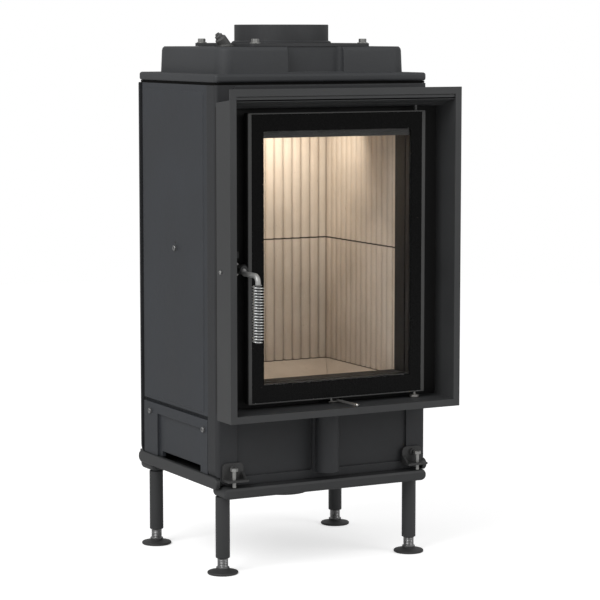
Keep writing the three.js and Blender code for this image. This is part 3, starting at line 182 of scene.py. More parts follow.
def tint(tree, amount, first, second):
    """A colour between first and second, which are colours or sockets, by amount."""
    blend = wired(tree, "ShaderNodeMix", data_type="RGBA")
    for number, value in ((0, amount), (6, first), (7, second)):
        if isinstance(value, bpy.types.NodeSocket):
            tree.links.new(value, blend.inputs[number])
        elif number:
            blend.inputs[number].default_value = (*value, 1.0)
        else:
            blend.inputs[0].default_value = value
    return blend.outputs[2]


def arithmetic(tree, operation, first, second):
    """first and second, numbers or sockets, under that operation."""
    return wired(tree, "ShaderNodeMath", {0: first, 1: second}, operation=operation).outputs[0]


def raised(tree, height, distance, strength=1.0, under=None):
    """A normal that stands up with height by distance metres, over another normal if given."""
    inputs = {"Height": height, "Distance": distance, "Strength": strength}
    if under is not None:
        inputs["Normal"] = under
    return wired(tree, "ShaderNodeBump", inputs).outputs[0]


def soft_edges(tree, radius):
    """A normal rounded over the edges by radius, and a mask that is 1 on those edges."""
    rounded = wired(tree, "ShaderNodeBevel", {"Radius": radius}, samples=4).outputs[0]
    true = wired(tree, "ShaderNodeNewGeometry").outputs["Normal"]
    along = wired(tree, "ShaderNodeVectorMath", {0: rounded, 1: true}, operation="DOT_PRODUCT")
    return rounded, spread(tree, along.outputs["Value"], 0.995, 0.86)


def iron_paint(name, colour, worn, grain=0.00016):
    """Painted sand casting: lumpy sand grain in the bump, and cloudy paint that is thinner and lighter
    on the edges."""
    finish, tree, shader, place = finish_start(name)
    rounded, edge = soft_edges(tree, 0.0012)
    sand = noise(tree, place, 0.0011, 4.0, 0.7)
    lumps = noise(tree, place, 0.009, 2.0, 0.5)
    clouds = noise(tree, place, 0.11, 3.0, 0.6)
    pits = spread(tree, noise(tree, place, 0.0023, 2.0, 0.5), 0.30, 0.22)
    dark = tuple(c * 0.84 for c in colour)
    light = tuple(c * 1.14 for c in colour)
    painted = tint(tree, spread(tree, clouds, 0.32, 0.68), dark, light)
    painted = tint(tree, spread(tree, sand, 0.55, 0.8, 0.0, 0.3), painted, light)
    painted = tint(tree, arithmetic(tree, "MULTIPLY", pits, 0.5), painted, tuple(c * 0.45 for c in colour))
    rub = arithmetic(tree, "MULTIPLY", edge, spread(tree, lumps, 0.38, 0.62, 0.2, 0.65))
    tree.links.new(tint(tree, rub, painted, worn), shader.inputs["Base Color"])
    tree.links.new(spread(tree, clouds, 0.3, 0.7, 0.52, 0.66), shader.inputs["Roughness"])
    shader.inputs["Specular IOR Level"].default_value = 0.38
    height = arithmetic(tree, "ADD", sand, arithmetic(tree, "MULTIPLY", lumps, 1.4))
    tree.links.new(raised(tree, height, grain, 1.0, rounded), shader.inputs["Normal"])
    return finish


SHARP_FROM = math.radians(26.0)


def soften():
    """One node group for every piece: joins its triangles and shades them smooth where they meet at less
    than SHARP_FROM."""
    group = bpy.data.node_groups.new("joined_and_smooth", "GeometryNodeTree")
    group.interface.new_socket("Geometry", in_out="INPUT", socket_type="NodeSocketGeometry")
    group.interface.new_socket("Geometry", in_out="OUTPUT", socket_type="NodeSocketGeometry")
    start = group.nodes.new("NodeGroupInput")
    joined = wired(group, "GeometryNodeMergeByDistance", {
        "Geometry": start.outputs[0], "Distance": 0.000004})
    smooth = wired(group, "GeometryNodeSetShadeSmooth", {
        "Geometry": joined.outputs[0], "Shade Smooth": True})
    angle = wired(group, "GeometryNodeInputMeshEdgeAngle").outputs["Unsigned Angle"]
    sharp = wired(group, "FunctionNodeCompare", {0: angle, 1: SHARP_FROM},
                  data_type="FLOAT", operation="GREATER_THAN")
    split = wired(group, "GeometryNodeSetShadeSmooth", {
        "Geometry": smooth.outputs[0], "Selection": sharp.outputs[0], "Shade Smooth": False}, domain="EDGE")
    end = group.nodes.new("NodeGroupOutput")
    group.links.new(split.outputs[0], end.inputs[0])
    return group


joined_and_smooth = soften()


def dress(names, finish):
    """Gives CAD nodes a finish, joins their triangles and evens the shading of their flat faces."""
    for name in names:
        for place in nodes[name].material_slots:
            place.material = finish
        nodes[name].modifiers.new("joined", "NODES").node_group = joined_and_smooth
        even = nodes[name].modifiers.new("evened", "WEIGHTED_NORMAL")
        even.keep_sharp = True
        even.weight = 100


plate_grey = iron_paint("side_casting_paint", (0.029, 0.032, 0.037), (0.085, 0.088, 0.092))
# The front and rear castings get a darker copy of the same casing paint: painted shade on the front below
# the facing frame.
front_grey_painted_shade = iron_paint("front_casting_shaded_paint", (0.022, 0.023, 0.025), (0.075, 0.076, 0.078))
pan_grey = iron_paint("pan_casting_paint", (0.026, 0.027, 0.028), (0.06, 0.06, 0.06), 0.00022)
dress(["side_panel_left", "side_panel_right", "side_base_left", "side_base_right"], plate_grey)
dress(["front_casting", "rear_casting"], front_grey_painted_shade)
dress(["bottom_pan", "floor_plate"], pan_grey)


# ---- side casting screws --------------------------------------------------------------------
# Zinc-plated socket screws that hold the side castings to the frame inside: one in the middle
# of each upper casting under a small core hole, two in each lower one.
def skin_of(rows):
    """Corners and four-sided faces of a grid of points (rows, columns, 3), whose last column joins its
    first one."""
    rows = np.asarray(rows, float)
    down, across = rows.shape[:2]
    i, j = np.meshgrid(np.arange(down - 1), np.arange(across), indexing="ij")
    k = (j + 1) % across
    faces = np.stack([i * across + j, i * across + k, (i + 1) * across + k, (i + 1) * across + j], axis=-1)
    return rows.reshape(-1, 3), faces.reshape(-1, 4)


def lathe(profile, sides, corners=0):
    """Grid of a profile turned about Z: radius r and height z at angle t give (r cos t, r sin t, z).
    With corners, r is the distance across half the flats of a regular polygon, its corners cut to r_max."""
    profile = np.asarray(profile, float)
    angle = np.linspace(0.0, 2.0 * np.pi, sides, endpoint=False)[None, :]
    reach = profile[:, :1] * np.ones_like(angle)
    if corners:
        step = 2.0 * np.pi / corners
        flat = np.cos((angle + step / 2.0) % step - step / 2.0)
        reach = np.minimum(reach / flat, profile[:, 2:3])
    return np.stack([reach * np.cos(angle), reach * np.sin(angle),
                     profile[:, 1:2] * np.ones_like(angle)], axis=-1)


def faced(grid, centre, outward):
    """A grid made about Z, set at centre with its Z turned to the unit vector outward."""
    turn = np.array(Vector(outward).to_track_quat("Z", "Y").to_matrix())
    return np.asarray(grid) @ turn.T + np.asarray(centre, float)


def piece_of(name, grids, finish, body):
    """One object made of several skins, shaded as joined_and_smooth says. It rides on body."""
    corners, faces, start = [], [], 0
    for grid in grids:
        points, quads = skin_of(grid)
        corners.append(points)
        faces.append(quads + start)
        start += len(points)
    mesh = bpy.data.meshes.new(name)
    mesh.from_pydata(np.concatenate(corners).tolist(), [], np.concatenate(faces).tolist())
    mesh.validate()
    mesh.materials.append(finish)
    piece = bpy.data.objects.new(name, mesh)
    bpy.context.scene.collection.objects.link(piece)
    piece.modifiers.new("joined", "NODES").node_group = joined_and_smooth
    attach(piece, body)
    return piece


def plated(name, colour, polish=0.34, metal=0.85):
    """Plated or drawn steel: fine drawing marks, faint stains, and a slightly uneven gloss."""
    finish, tree, shader, place = finish_start(name)
    rounded, edge = soft_edges(tree, 0.0005)
    stain = noise(tree, place, 0.012, 3.0, 0.6)
    marks = noise(tree, place, 0.0006, 3.0, 0.6)
    toned = tint(tree, spread(tree, stain, 0.35, 0.7), tuple(c * 0.82 for c in colour), colour)
    tree.links.new(tint(tree, arithmetic(tree, "MULTIPLY", edge, 0.5), toned,
                        tuple(min(1.0, c * 1.35) for c in colour)), shader.inputs["Base Color"])
    shader.inputs["Metallic"].default_value = metal
    tree.links.new(spread(tree, marks, 0.3, 0.7, polish - 0.06, polish + 0.1), shader.inputs["Roughness"])
    tree.links.new(raised(tree, marks, 0.00002, 0.8, rounded), shader.inputs["Normal"])
    return finish


screw_zinc = plated("screw_zinc", (0.30, 0.30, 0.30))
# Painted shade: the core hole is a flat near-black disc that stands for the dark inside of a hole.
core_hole_shade_finish, _, hole_shader, _ = finish_start("core_hole_painted_shade")
hole_shader.inputs["Base Color"].default_value = (0.006, 0.006, 0.006, 1.0)
CORE_HOLE_R = 0.0026
CORE_HOLE_T = 0.0002
SCREW_HEAD_R = 0.0052
SCREW_HEAD_H = 0.0042
UPPER_SCREW = (0.0564, 0.598)   # depth and height of each screw
LOWER_SCREWS = ((-0.0631, 0.268), (0.1749, 0.270))
CORE_HOLE = (0.0564, 0.6088)


def socket_head(radius, height):
    """Two grids of a round head with a six-sided socket. The first goes up the rim, over its eased edge and
    across, the second down the socket's wall to its floor; the third number of a row is its r_max."""
    eased = height * 0.16
    inner = radius * 0.62
    socket = radius * 0.42      # half the flats of the socket
    outer_rows = [[radius, -0.0004], [radius, height - eased], [radius - eased, height], [inner, height]]
    socket_rows = [[inner, height, radius], [radius * 0.44, height, radius * 0.52],
                   [socket, height - radius * 0.1, radius * 0.5],
                   [socket, height * 0.35, radius * 0.5], [0.0, height * 0.3, radius]]
    return lathe(outer_rows, 48), lathe(socket_rows, 48, 6)


for side, hand in ((-1.0, "left"), (1.0, "right")):
    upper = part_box("side_panel_" + hand)
    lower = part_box("side_base_" + hand)
    upper_face = upper[0][0] if side < 0 else upper[1][0]
    lower_face = lower[0][0] if side < 0 else lower[1][0]
    places = [(upper_face, *UPPER_SCREW)] + [(lower_face, *place) for place in LOWER_SCREWS]
    outward = (side, 0.0, 0.0)
    grids = []
    for place in places:
        grids += [faced(g, place, outward) for g in socket_head(SCREW_HEAD_R, SCREW_HEAD_H)]
    piece_of("side_screws_" + hand, grids, screw_zinc, "casing")
    # The core hole: a thin near-black disc on the face, painted shade for the inside of the hole.
    hole = lathe([[0.0, 0.0], [CORE_HOLE_R, 0.0], [CORE_HOLE_R, CORE_HOLE_T], [0.0, CORE_HOLE_T]], 32)
    piece_of("core_hole_" + hand, [faced(hole, (upper_face, *CORE_HOLE), outward)],
             core_hole_shade_finish, "casing")


# ---- top dome and its seal ------------------------------------------------------------------
# The smoke dome: one sand casting with drafted, stepped walls, a front recess and a thick rolled
# rim round its foot, set on a bead of fire cement on the casing's edge.
dome_grey = iron_paint("dome_paint", (0.038, 0.040, 0.043), (0.085, 0.088, 0.092))
dress(["top_dome"], dome_grey)


def rectangle(x0, x1, z0, z1, radius, steps):
    """Points round a rectangle with rounded corners, counter-clockwise from the lower right: each corner is
    a quarter circle of that radius about its own centre."""
    quarter = np.linspace(0.0, np.pi / 2.0, steps)
    centres = [(x1 - radius, z0 + radius, -np.pi / 2.0), (x1 - radius, z1 - radius, 0.0),
               (x0 + radius, z1 - radius, np.pi / 2.0), (x0 + radius, z0 + radius, np.pi)]
    return np.concatenate([np.stack([cx + radius * np.cos(quarter + start),
                                     cz + radius * np.sin(quarter + start)], axis=1)
                           for cx, cz, start in centres])


def ring_at(outline, y):
    """An outline of (x, z) points set at depth y, as one row of a grid."""
    return np.stack([outline[:, 0], np.full(len(outline), y), outline[:, 1]], axis=1)


def level_ring(outline, z):
    """An outline of (x, y) points set at height z, as one row of a grid."""
    return np.column_stack([outline, np.full(len(outline), z)])


dome_low, dome_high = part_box("top_dome")
RIM_T = 0.0158
RIM_ROLL = 0.005
RIM_CORNER = 0.008
RIM_IN = 0.050                  # the rim's top runs in under the raised box's walls
RIM_PROUD = 0.0001              # clear of the casting's own skin
quarter_turn = np.linspace(0.0, np.pi / 2.0, 7)
roll_in, roll_up = RIM_ROLL * (1.0 - np.sin(quarter_turn)), RIM_ROLL * (1.0 - np.cos(quarter_turn))
rim_foot = dome_low[2] - RIM_PROUD
rim_top = rim_foot + RIM_T
rim_profile = [(RIM_IN, rim_foot), *zip(roll_in, rim_foot + roll_up),
               *zip(roll_up, rim_top - roll_in), (RIM_IN, rim_top), (RIM_IN, rim_foot)]
rim_rows = [level_ring(rectangle(dome_low[0] + inset - RIM_PROUD, dome_high[0] - inset + RIM_PROUD,
                                 dome_low[1] + inset - RIM_PROUD, dome_high[1] - inset + RIM_PROUD,
                                 max(0.0006, RIM_CORNER - inset), 8), z) for inset, z in rim_profile]
piece_of("dome_rim", [np.stack(rim_rows)], dome_grey, "casing")


def cement_and_gap_shade(name):
    """Trowelled fire cement, crumbly and matt, coloured near black as painted shade for the gap under the
    dome.
    """
    finish, tree, shader, place = finish_start(name)
    crumbs = noise(tree, place, 0.0018, 5.0, 0.75)
    # Painted shade: the near-black colour stands for the dark gap between the dome and the casing.
    crumbled = tint(tree, spread(tree, crumbs, 0.3, 0.7), (0.002, 0.002, 0.002), (0.008, 0.0078, 0.0075))
    tree.links.new(crumbled, shader.inputs["Base Color"])
    shader.inputs["Roughness"].default_value = 0.92
    shader.inputs["Specular IOR Level"].default_value = 0.05
    tree.links.new(raised(tree, crumbs, 0.0005), shader.inputs["Normal"])
    return finish


dress(["dome_seal"], cement_and_gap_shade("cement_and_gap_shade"))

# ---- dome cover, collar and sensor sleeve ---------------------------------------------------
# A cast plate closes the dome and carries the flue collar. Four hexagon-headed bolts on washers
# hold it down. A slanting cast sleeve with a plug in its end is for a flue sensor.
cover_grey = iron_paint("cover_paint", (0.034, 0.035, 0.037), (0.08, 0.08, 0.082))
dress(["dome_cover_plate", "flue_collar"], cover_grey)
sleeve_grey = iron_paint("sleeve_paint", (0.07, 0.07, 0.068), (0.26, 0.26, 0.25), 0.0001)
SLEEVE_R = 0.011
SLEEVE_L = 0.019
SLEEVE_SUNK = 0.008             # of the slanting sleeve, inside its round base
PLUG_R = 0.0075
PLUG_STEM_R = 0.0045
SLEEVE_BASE_R = 0.0150
SLEEVE_BASE_H = 0.0030
sleeve_foot = (-0.146, -0.0076, dome_high[2] + 0.0003)
sleeve_lean = math.radians(38.0)
sleeve_profile = [[0.0, -SLEEVE_SUNK], [SLEEVE_R, -SLEEVE_SUNK], [SLEEVE_R, SLEEVE_L],
                  [SLEEVE_R - 0.002, SLEEVE_L + 0.002], [PLUG_R, SLEEVE_L + 0.002],
                  [PLUG_R, SLEEVE_L + 0.007], [PLUG_STEM_R, SLEEVE_L + 0.008],
                  [PLUG_STEM_R, SLEEVE_L + 0.011], [0.0, SLEEVE_L + 0.011]]
sleeve_base = [[0.0, -0.0002], [SLEEVE_BASE_R, -0.0002], [SLEEVE_BASE_R, SLEEVE_BASE_H - 0.0006],
               [SLEEVE_BASE_R - 0.0010, SLEEVE_BASE_H], [0.0, SLEEVE_BASE_H]]
sleeve = piece_of("sensor_sleeve_long", [
    faced(lathe(sleeve_profile, 40), sleeve_foot, (-math.sin(sleeve_lean), 0.0, math.cos(sleeve_lean))),
    lathe(sleeve_base, 40) + np.array(sleeve_foot)], sleeve_grey, "casing")
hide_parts("sensor_sleeve")

BOLT_OUT = 0.114                # from the flue's middle, in x and in y
WASHER_R = 0.0098
WASHER_T = 0.0015
HEX_ACROSS = 0.0128
HEX_HIGH = 0.0085
hex_half = HEX_ACROSS / 2.0
hex_corner = hex_half / math.cos(math.pi / 6.0)
cover_low, cover_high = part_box("dome_cover_plate")
flue_y = (cover_low[1] + cover_high[1]) / 2.0
washer = lathe([[0.0, -0.0002], [WASHER_R, -0.0002], [WASHER_R, WASHER_T - 0.0003],
                [WASHER_R - 0.0004, WASHER_T], [0.0, WASHER_T]], 40)
hex_head = lathe([[0.0, WASHER_T - 0.0001, 1.0], [hex_half, WASHER_T - 0.0001, hex_corner],
                  [hex_half, HEX_HIGH - 0.0009, hex_corner],
                  [hex_half, HEX_HIGH - 0.0003, hex_half * 1.06],
                  [hex_half * 0.9, HEX_HIGH, hex_half * 0.9], [0.0, HEX_HIGH, 1.0]], 48, 6)
bolt_grids = []
for side_x in (-BOLT_OUT, BOLT_OUT):
    for side_y in (-BOLT_OUT, BOLT_OUT):
        centre = np.array((side_x, flue_y + side_y, cover_high[2]))
        bolt_grids += [washer + centre, hex_head + centre]
piece_of("cover_bolts", bolt_grids, plated("cover_bolt_zinc", (0.30, 0.30, 0.29), 0.4, 0.7),
         "casing")


# ---- facing frame ---------------------------------------------------------------------------
# The deep frame that the wall's plaster meets: folded from sheet steel, with an upright lip all
# round and an inner top wall that slopes, sprayed satin dark grey. A screw on each side holds it.
def sheet_paint(name, colour, gloss=0.46, peel=0.00006):
    """Satin paint on sheet steel: slight orange peel, faint cloudiness, lighter rubbed folds."""
    finish, tree, shader, place = finish_start(name)
    rounded, edge = soft_edges(tree, 0.0009)
    peeled = noise(tree, place, 0.0016, 2.0, 0.5)
    clouds = noise(tree, place, 0.14, 3.0, 0.55)
    dust = spread(tree, noise(tree, place, 0.0009, 2.0, 0.6), 0.62, 0.75)
    painted = tint(tree, spread(tree, clouds, 0.3, 0.7),
                   tuple(c * 0.88 for c in colour), tuple(c * 1.1 for c in colour))
    painted = tint(tree, arithmetic(tree, "MULTIPLY", dust, 0.25),
                   painted, tuple(c * 1.8 + 0.01 for c in colour))
    tree.links.new(tint(tree, arithmetic(tree, "MULTIPLY", edge, 0.35), painted,
                        tuple(c * 1.9 + 0.012 for c in colour)), shader.inputs["Base Color"])
    tree.links.new(spread(tree, clouds, 0.3, 0.7, gloss - 0.04, gloss + 0.07), shader.inputs["Roughness"])
    shader.inputs["Specular IOR Level"].default_value = 0.34
    tree.links.new(raised(tree, peeled, peel, 1.0, rounded), shader.inputs["Normal"])
    return finish


CASING_FRONT = -0.120125        # depth of the front casting's face
frame_low, frame_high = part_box("facing_frame")
LIP = 0.013
SHEET = 0.0025
LIP_RISE = 0.0193               # the lip's top above the outer top wall behind it
ROOF_FALL = 0.0056              # the outer top wall drops by this much to its back edge
CEILING_FOLD = 0.048            # the inner top wall slopes down to here, then runs level
CEILING_FALL = 0.0228
FRAME_SCREW = (-0.1770, 0.573)  # depth and height of the screw on each side
FRAME_SCREW_R = 0.0036
FRAME_SCREW_H = 0.0022
front_y = frame_low[1]
lip_back_y = front_y + SHEET
outer_back_y = CASING_FRONT - 0.040
inner_back_y = CASING_FRONT - 0.0263
half_w = frame_high[0]
foot_z, top_z = frame_low[2], frame_high[2]
roof_z = top_z - LIP_RISE
ceiling_z = top_z - LIP - CEILING_FALL
sill_z = foot_z + LIP
frame_rows = [                  # depth, half width, foot, top
    (outer_back_y, half_w, foot_z, roof_z - ROOF_FALL),
    (lip_back_y, half_w, foot_z, roof_z),
    (lip_back_y, half_w, foot_z, top_z),
    (front_y, half_w, foot_z, top_z),
    (front_y, half_w - LIP, sill_z, top_z - LIP),
    (front_y + CEILING_FOLD, half_w - LIP, sill_z + 0.0021, ceiling_z),
    (inner_back_y, half_w - LIP, sill_z + 0.0030, ceiling_z),
    (inner_back_y, half_w - LIP + SHEET, sill_z + 0.0005, ceiling_z + SHEET),
    (front_y + CEILING_FOLD, half_w - LIP + SHEET, sill_z - 0.0004, ceiling_z + SHEET),
    (lip_back_y, half_w - LIP + SHEET, sill_z - SHEET, roof_z - SHEET - 0.001),
    (lip_back_y, half_w - SHEET, foot_z + SHEET, roof_z - SHEET),
    (outer_back_y, half_w - SHEET, foot_z + SHEET, roof_z - ROOF_FALL - SHEET),
    (outer_back_y, half_w, foot_z, roof_z - ROOF_FALL),
]
frame_grid = np.stack([ring_at(rectangle(-half, half, low, high, 0.0007, 3), depth)
                       for depth, half, low, high in frame_rows])
folded_frame = piece_of("folded_facing_frame", [frame_grid],
                        sheet_paint("facing_frame_paint", (0.036, 0.037, 0.038)), "casing")
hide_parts("facing_frame")
frame_grids = []
for side, x in ((-1.0, frame_low[0]), (1.0, frame_high[0])):
    frame_grids += [faced(g, (x, *FRAME_SCREW), (side, 0.0, 0.0))
                    for g in socket_head(FRAME_SCREW_R, FRAME_SCREW_H)]
piece_of("frame_screws", frame_grids, plated("frame_screw_zinc", (0.46, 0.46, 0.45)),
         "casing")

# ---- front rib ------------------------------------------------------------------------------
# The half-round rib cast on the middle of the lower front, proud of the relief fields, in the
# same sand-cast iron and paint.
RIB_R = 0.0226
RIB_OUT = 0.0155                # the rib's axis before the front face
RIB_EASE = 0.003
RIB_FOOT = 0.1817
rib_top = foot_z - 0.0003
rib_profile = [[0.0, RIB_FOOT], [RIB_R - RIB_EASE, RIB_FOOT], [RIB_R - 0.0009, RIB_FOOT + 0.0009],
               [RIB_R, RIB_FOOT + RIB_EASE], [RIB_R, rib_top], [0.0, rib_top]]
# The rib takes the front castings' darker copy of the paint, painted shade like theirs.
piece_of("front_rib", [lathe(rib_profile, 72) + np.array((0.0, CASING_FRONT - RIB_OUT, 0.0))],
         front_grey_painted_shade, "casing")

# ---- door seat, hinge pins and lever post ---------------------------------------------------
# The plate and duct that the door closes against, welded from black-painted steel, with the
# two turned hinge pins, the keeper for the latch and the post that the air lever turns on.
def cut_away(name, low, high):
    """Shows a CAD node with the box from low to high cut out of it. Only a modifier cuts: the node's stored
    mesh, and its solid, keep the shape they had."""
    group = bpy.data.node_groups.new(name + "_opening", "GeometryNodeTree")
    group.interface.new_socket("Geometry", in_out="INPUT", socket_type="NodeSocketGeometry")
    group.interface.new_socket("Geometry", in_out="OUTPUT", socket_type="NodeSocketGeometry")
    start = group.nodes.new("NodeGroupInput")
    low, high = np.array(low), np.array(high)
    cube = wired(group, "GeometryNodeMeshCube", {"Size": tuple(high - low)})
    moved = wired(group, "GeometryNodeTransform", {"Geometry": cube.outputs["Mesh"],
                                                   "Translation": tuple((low + high) / 2.0)})
    cutter = wired(group, "GeometryNodeMeshBoolean", operation="DIFFERENCE", solver="EXACT")
    group.links.new(start.outputs[0], cutter.inputs["Mesh 1"])
    group.links.new(moved.outputs[0], cutter.inputs["Mesh 2"])
    end = group.nodes.new("NodeGroupOutput")
    group.links.new(cutter.outputs["Mesh"], end.inputs[0])
    nodes[name].modifiers.new("opening", "NODES").node_group = group


LINING_X = 0.1550               # crests of the side bricks, left and right of the middle
DOOR_OPEN_X = 0.1534
OPEN_LOW, OPEN_HIGH = 0.3624, 0.8124
SEAT_OPEN_X = LINING_X + 0.0003
COLLAR_R = 0.0093
COLLAR_H = 0.0044
COLLAR_EASE = 0.0008
seat_black = sheet_paint("door_seat_paint", (0.007, 0.007, 0.007), 0.6)
cut_away("door_seat", (-SEAT_OPEN_X, CASING_FRONT - 0.060, OPEN_LOW),
        (SEAT_OPEN_X, CASING_FRONT + 0.020, OPEN_HIGH))
dress(["door_seat"], seat_black)
pin_steel = plated("hinge_pin_steel", (0.40, 0.39, 0.37), 0.38)
dress(["hinge_pin_lower", "lever_post"], pin_steel)
pin_low, pin_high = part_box("hinge_pin_lower")
pin_place = ((pin_low[0] + pin_high[0]) / 2.0, (pin_low[1] + pin_high[1]) / 2.0, pin_low[2] + 0.0002)
collar = [[0.0, 0.0], [COLLAR_R, 0.0], [COLLAR_R, COLLAR_H - COLLAR_EASE],
          [COLLAR_R - COLLAR_EASE, COLLAR_H], [0.0, COLLAR_H]]
piece_of("hinge_collar", [lathe(collar, 48) + np.array(pin_place)], pin_steel, "casing")
# The upper pin gets a darker copy of the pin steel: painted shade.
dress(["hinge_pin_upper"], plated("upper_pin_shaded_steel", (0.10, 0.10, 0.10), 0.42, 0.5))

# ---- door frame and trim --------------------------------------------------------------------
# The door: a flat welded steel frame in matt black, and round the glass a slim drawn trim strip
# whose edge shows as a thin grey line.
door_black = sheet_paint("door_frame_paint", (0.007, 0.007, 0.007), 0.55)
cut_away("door_frame", (-DOOR_OPEN_X, CASING_FRONT - 0.070, OPEN_LOW),
        (DOOR_OPEN_X, CASING_FRONT, OPEN_HIGH))
dress(["door_frame"], door_black)
trim_grey = sheet_paint("door_trim_paint", (0.050, 0.050, 0.049), 0.4, 0.00003)
dress(["door_trim"], trim_grey)


# ---- door glass and its printed border ------------------------------------------------------
# One pane of clear glass ceramic inside the trim strip. A black ceramic border is fired onto its
# front and hides the rope seal and the edge of the steel frame.
def pane(name):
    """Clear, faintly smoke-tinted glass with a barely uneven surface."""
    finish, tree, shader, place = finish_start(name)
    haze = noise(tree, place, 0.05, 2.0, 0.5)
    smoked = tint(tree, spread(tree, haze, 0.3, 0.7), (0.985, 0.98, 0.97), (0.995, 0.993, 0.985))
    tree.links.new(smoked, shader.inputs["Base Color"])
    tree.links.new(spread(tree, haze, 0.35, 0.65, 0.0, 0.012), shader.inputs["Roughness"])
    shader.inputs["Transmission Weight"].default_value = 1.0
    shader.inputs["IOR"].default_value = 1.1
    tree.links.new(raised(tree, haze, 0.00002, 0.3), shader.inputs["Normal"])
    return finish


dress(["door_glass"], pane("door_glass_clear"))


def border_print(name):
    """Black ceramic ink: dense, slightly mottled where the screen left it thinner."""
    finish, tree, shader, place = finish_start(name)
    mottle = noise(tree, place, 0.004, 3.0, 0.6)
    inked = tint(tree, spread(tree, mottle, 0.35, 0.7), (0.0016, 0.0016, 0.0016), (0.0032, 0.0032, 0.0032))
    tree.links.new(inked, shader.inputs["Base Color"])
    shader.inputs["Roughness"].default_value = 0.22
    shader.inputs["Specular IOR Level"].default_value = 0.09
    tree.links.new(raised(tree, mottle, 0.00001), shader.inputs["Normal"])
    return finish


glass_low, glass_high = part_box("door_glass")
WINDOW_X = 0.1545               # half the width of the clear window inside the border
WINDOW_LOW = 0.3606
WINDOW_HIGH = 0.8252
INK_SHORT = 0.0004              # the ink stops this far inside the pane's edge
INK_T = 0.00015
INK_CLEAR = 0.00003             # gap between the ink and the pane, so that their faces don't fight
ink_outer = rectangle(glass_low[0] + INK_SHORT, glass_high[0] - INK_SHORT,
                      glass_low[2] + INK_SHORT, glass_high[2] - INK_SHORT, 0.0012, 8)
ink_inner = rectangle(-WINDOW_X, WINDOW_X, WINDOW_LOW, WINDOW_HIGH, 0.0016, 8)
ink_back = glass_low[1] - INK_CLEAR
ink_front = ink_back - INK_T
piece_of("glass_border_print", [np.stack([ring_at(ink_inner, ink_front), ring_at(ink_outer, ink_front),
                                          ring_at(ink_outer, ink_back), ring_at(ink_inner, ink_back),
                                          ring_at(ink_inner, ink_front)])],
         border_print("border_ink"), "door")


# ---- door rope seal -------------------------------------------------------------------------
# A dark knitted rope of glass fibre, glued round the back of the door, that the latch presses
# flat against the seat.
def knitted_rope(name):
    """Knitted rope: two sets of slanting strands crossing each other, dark grey and matt."""
    finish, tree, shader, place = finish_start(name)
    strands = []
    for lean in ((0.6, 0.8, 0.6), (-0.6, -0.8, 0.6)):
        leaning = wired(tree, "ShaderNodeMapping", {"Vector": place, "Rotation": lean})
        strands.append(wired(tree, "ShaderNodeTexWave", {
            "Vector": leaning.outputs[0], "Scale": 150.0, "Distortion": 1.5}).outputs["Fac"])
    weave = arithmetic(tree, "MAXIMUM", *strands)
    tree.links.new(tint(tree, weave, (0.012, 0.012, 0.012), (0.06, 0.058, 0.055)),
                   shader.inputs["Base Color"])
    shader.inputs["Roughness"].default_value = 0.95
    tree.links.new(raised(tree, weave, 0.0008), shader.inputs["Normal"])
    return finish


def squared(wave):
    """A wave from -1 to 1 with fuller shoulders: |wave|^0.6 with the wave's sign, which turns a circle
    into the flattened round of a pressed rope."""
    return math.copysign(abs(wave) ** 0.6, wave)


gasket_low, gasket_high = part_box("door_gasket")
ROPE_W = 0.008
ROPE_CORNER = 0.010
rope_half = SEAT_OPEN_X + ROPE_W + 0.0015
rope_rows = []
for step in np.linspace(0.0, 2.0 * np.pi, 13):
    inset = ROPE_W / 2.0 * (1.0 - squared(math.cos(step)))
    sink = (gasket_high[1] - gasket_low[1]) / 2.0 * (1.0 + squared(math.sin(step)))
    rope_rows.append(ring_at(rectangle(-rope_half + inset, rope_half - inset, gasket_low[2] + inset,
                                       gasket_high[2] - inset, ROPE_CORNER - inset, 5),
                             gasket_low[1] + sink))
rope = piece_of("door_rope_seal", [np.stack(rope_rows)], knitted_rope("rope_seal"), "door")
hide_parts("door_gasket")

# ---- door handle ----------------------------------------------------------------------------
# A round steel bar that comes out of the door through a black hub and bends down, with the latch
# fork on its inner end. A coil of spring wire round the grip keeps the hand off the hot bar.
handle_steel = plated("handle_steel", (0.42, 0.42, 0.41), 0.42, 0.5)
dress(["handle_rod"], handle_steel)
COIL_R = 0.0100
COIL_WIRE = 0.0011
COIL_TURNS = 20
ROD_R = 0.005
COIL_TOP = 0.5524
COIL_FOOT = 0.4494
COIL_X = -0.196
SHAFT_Z = 0.5754                # height of the handle's joint
BAR_FOOT = 0.4479
BAR_DROP = 0.0065               # the bar cranks down by this much outside the door
CRANK_L = 0.008
BEND_R = 0.012
HUB_R = 0.0085
HUB_L = 0.0070
coil_low, coil_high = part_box("handle_coil")
coil_y = (coil_low[1] + coil_high[1]) / 2.0
door_face = CASING_FRONT - 0.0527


def round_path(path, radius, sides, facing):
    """Grid of a round wire along a path: at each point a circle of that radius in the plane square to the
    path, spanned by the part of facing that is square to it and their cross product."""
    path = np.asarray(path, float)
    ahead = np.gradient(path, axis=0)
    ahead /= np.linalg.norm(ahead, axis=1, keepdims=True)
    facing = np.asarray(facing, float) * np.ones_like(path)
    out = facing - np.sum(facing * ahead, axis=1, keepdims=True) * ahead
    out /= np.linalg.norm(out, axis=1, keepdims=True)
    beside = np.cross(ahead, out)
    angle = np.linspace(0.0, 2.0 * np.pi, sides, endpoint=False)
    return (path[:, None, :] + radius * (np.cos(angle)[None, :, None] * out[:, None, :]
                                         + np.sin(angle)[None, :, None] * beside[:, None, :]))


def with_caps(grid):
    """The grid with each end drawn in to a point over a short dome."""
    first, last = grid[0].mean(axis=0), grid[-1].mean(axis=0)
    return np.concatenate([[first + 0.0 * grid[0]], [first + 0.7 * (grid[0] - first)], grid,
                           [last + 0.7 * (grid[-1] - last)], [last + 0.0 * grid[-1]]])


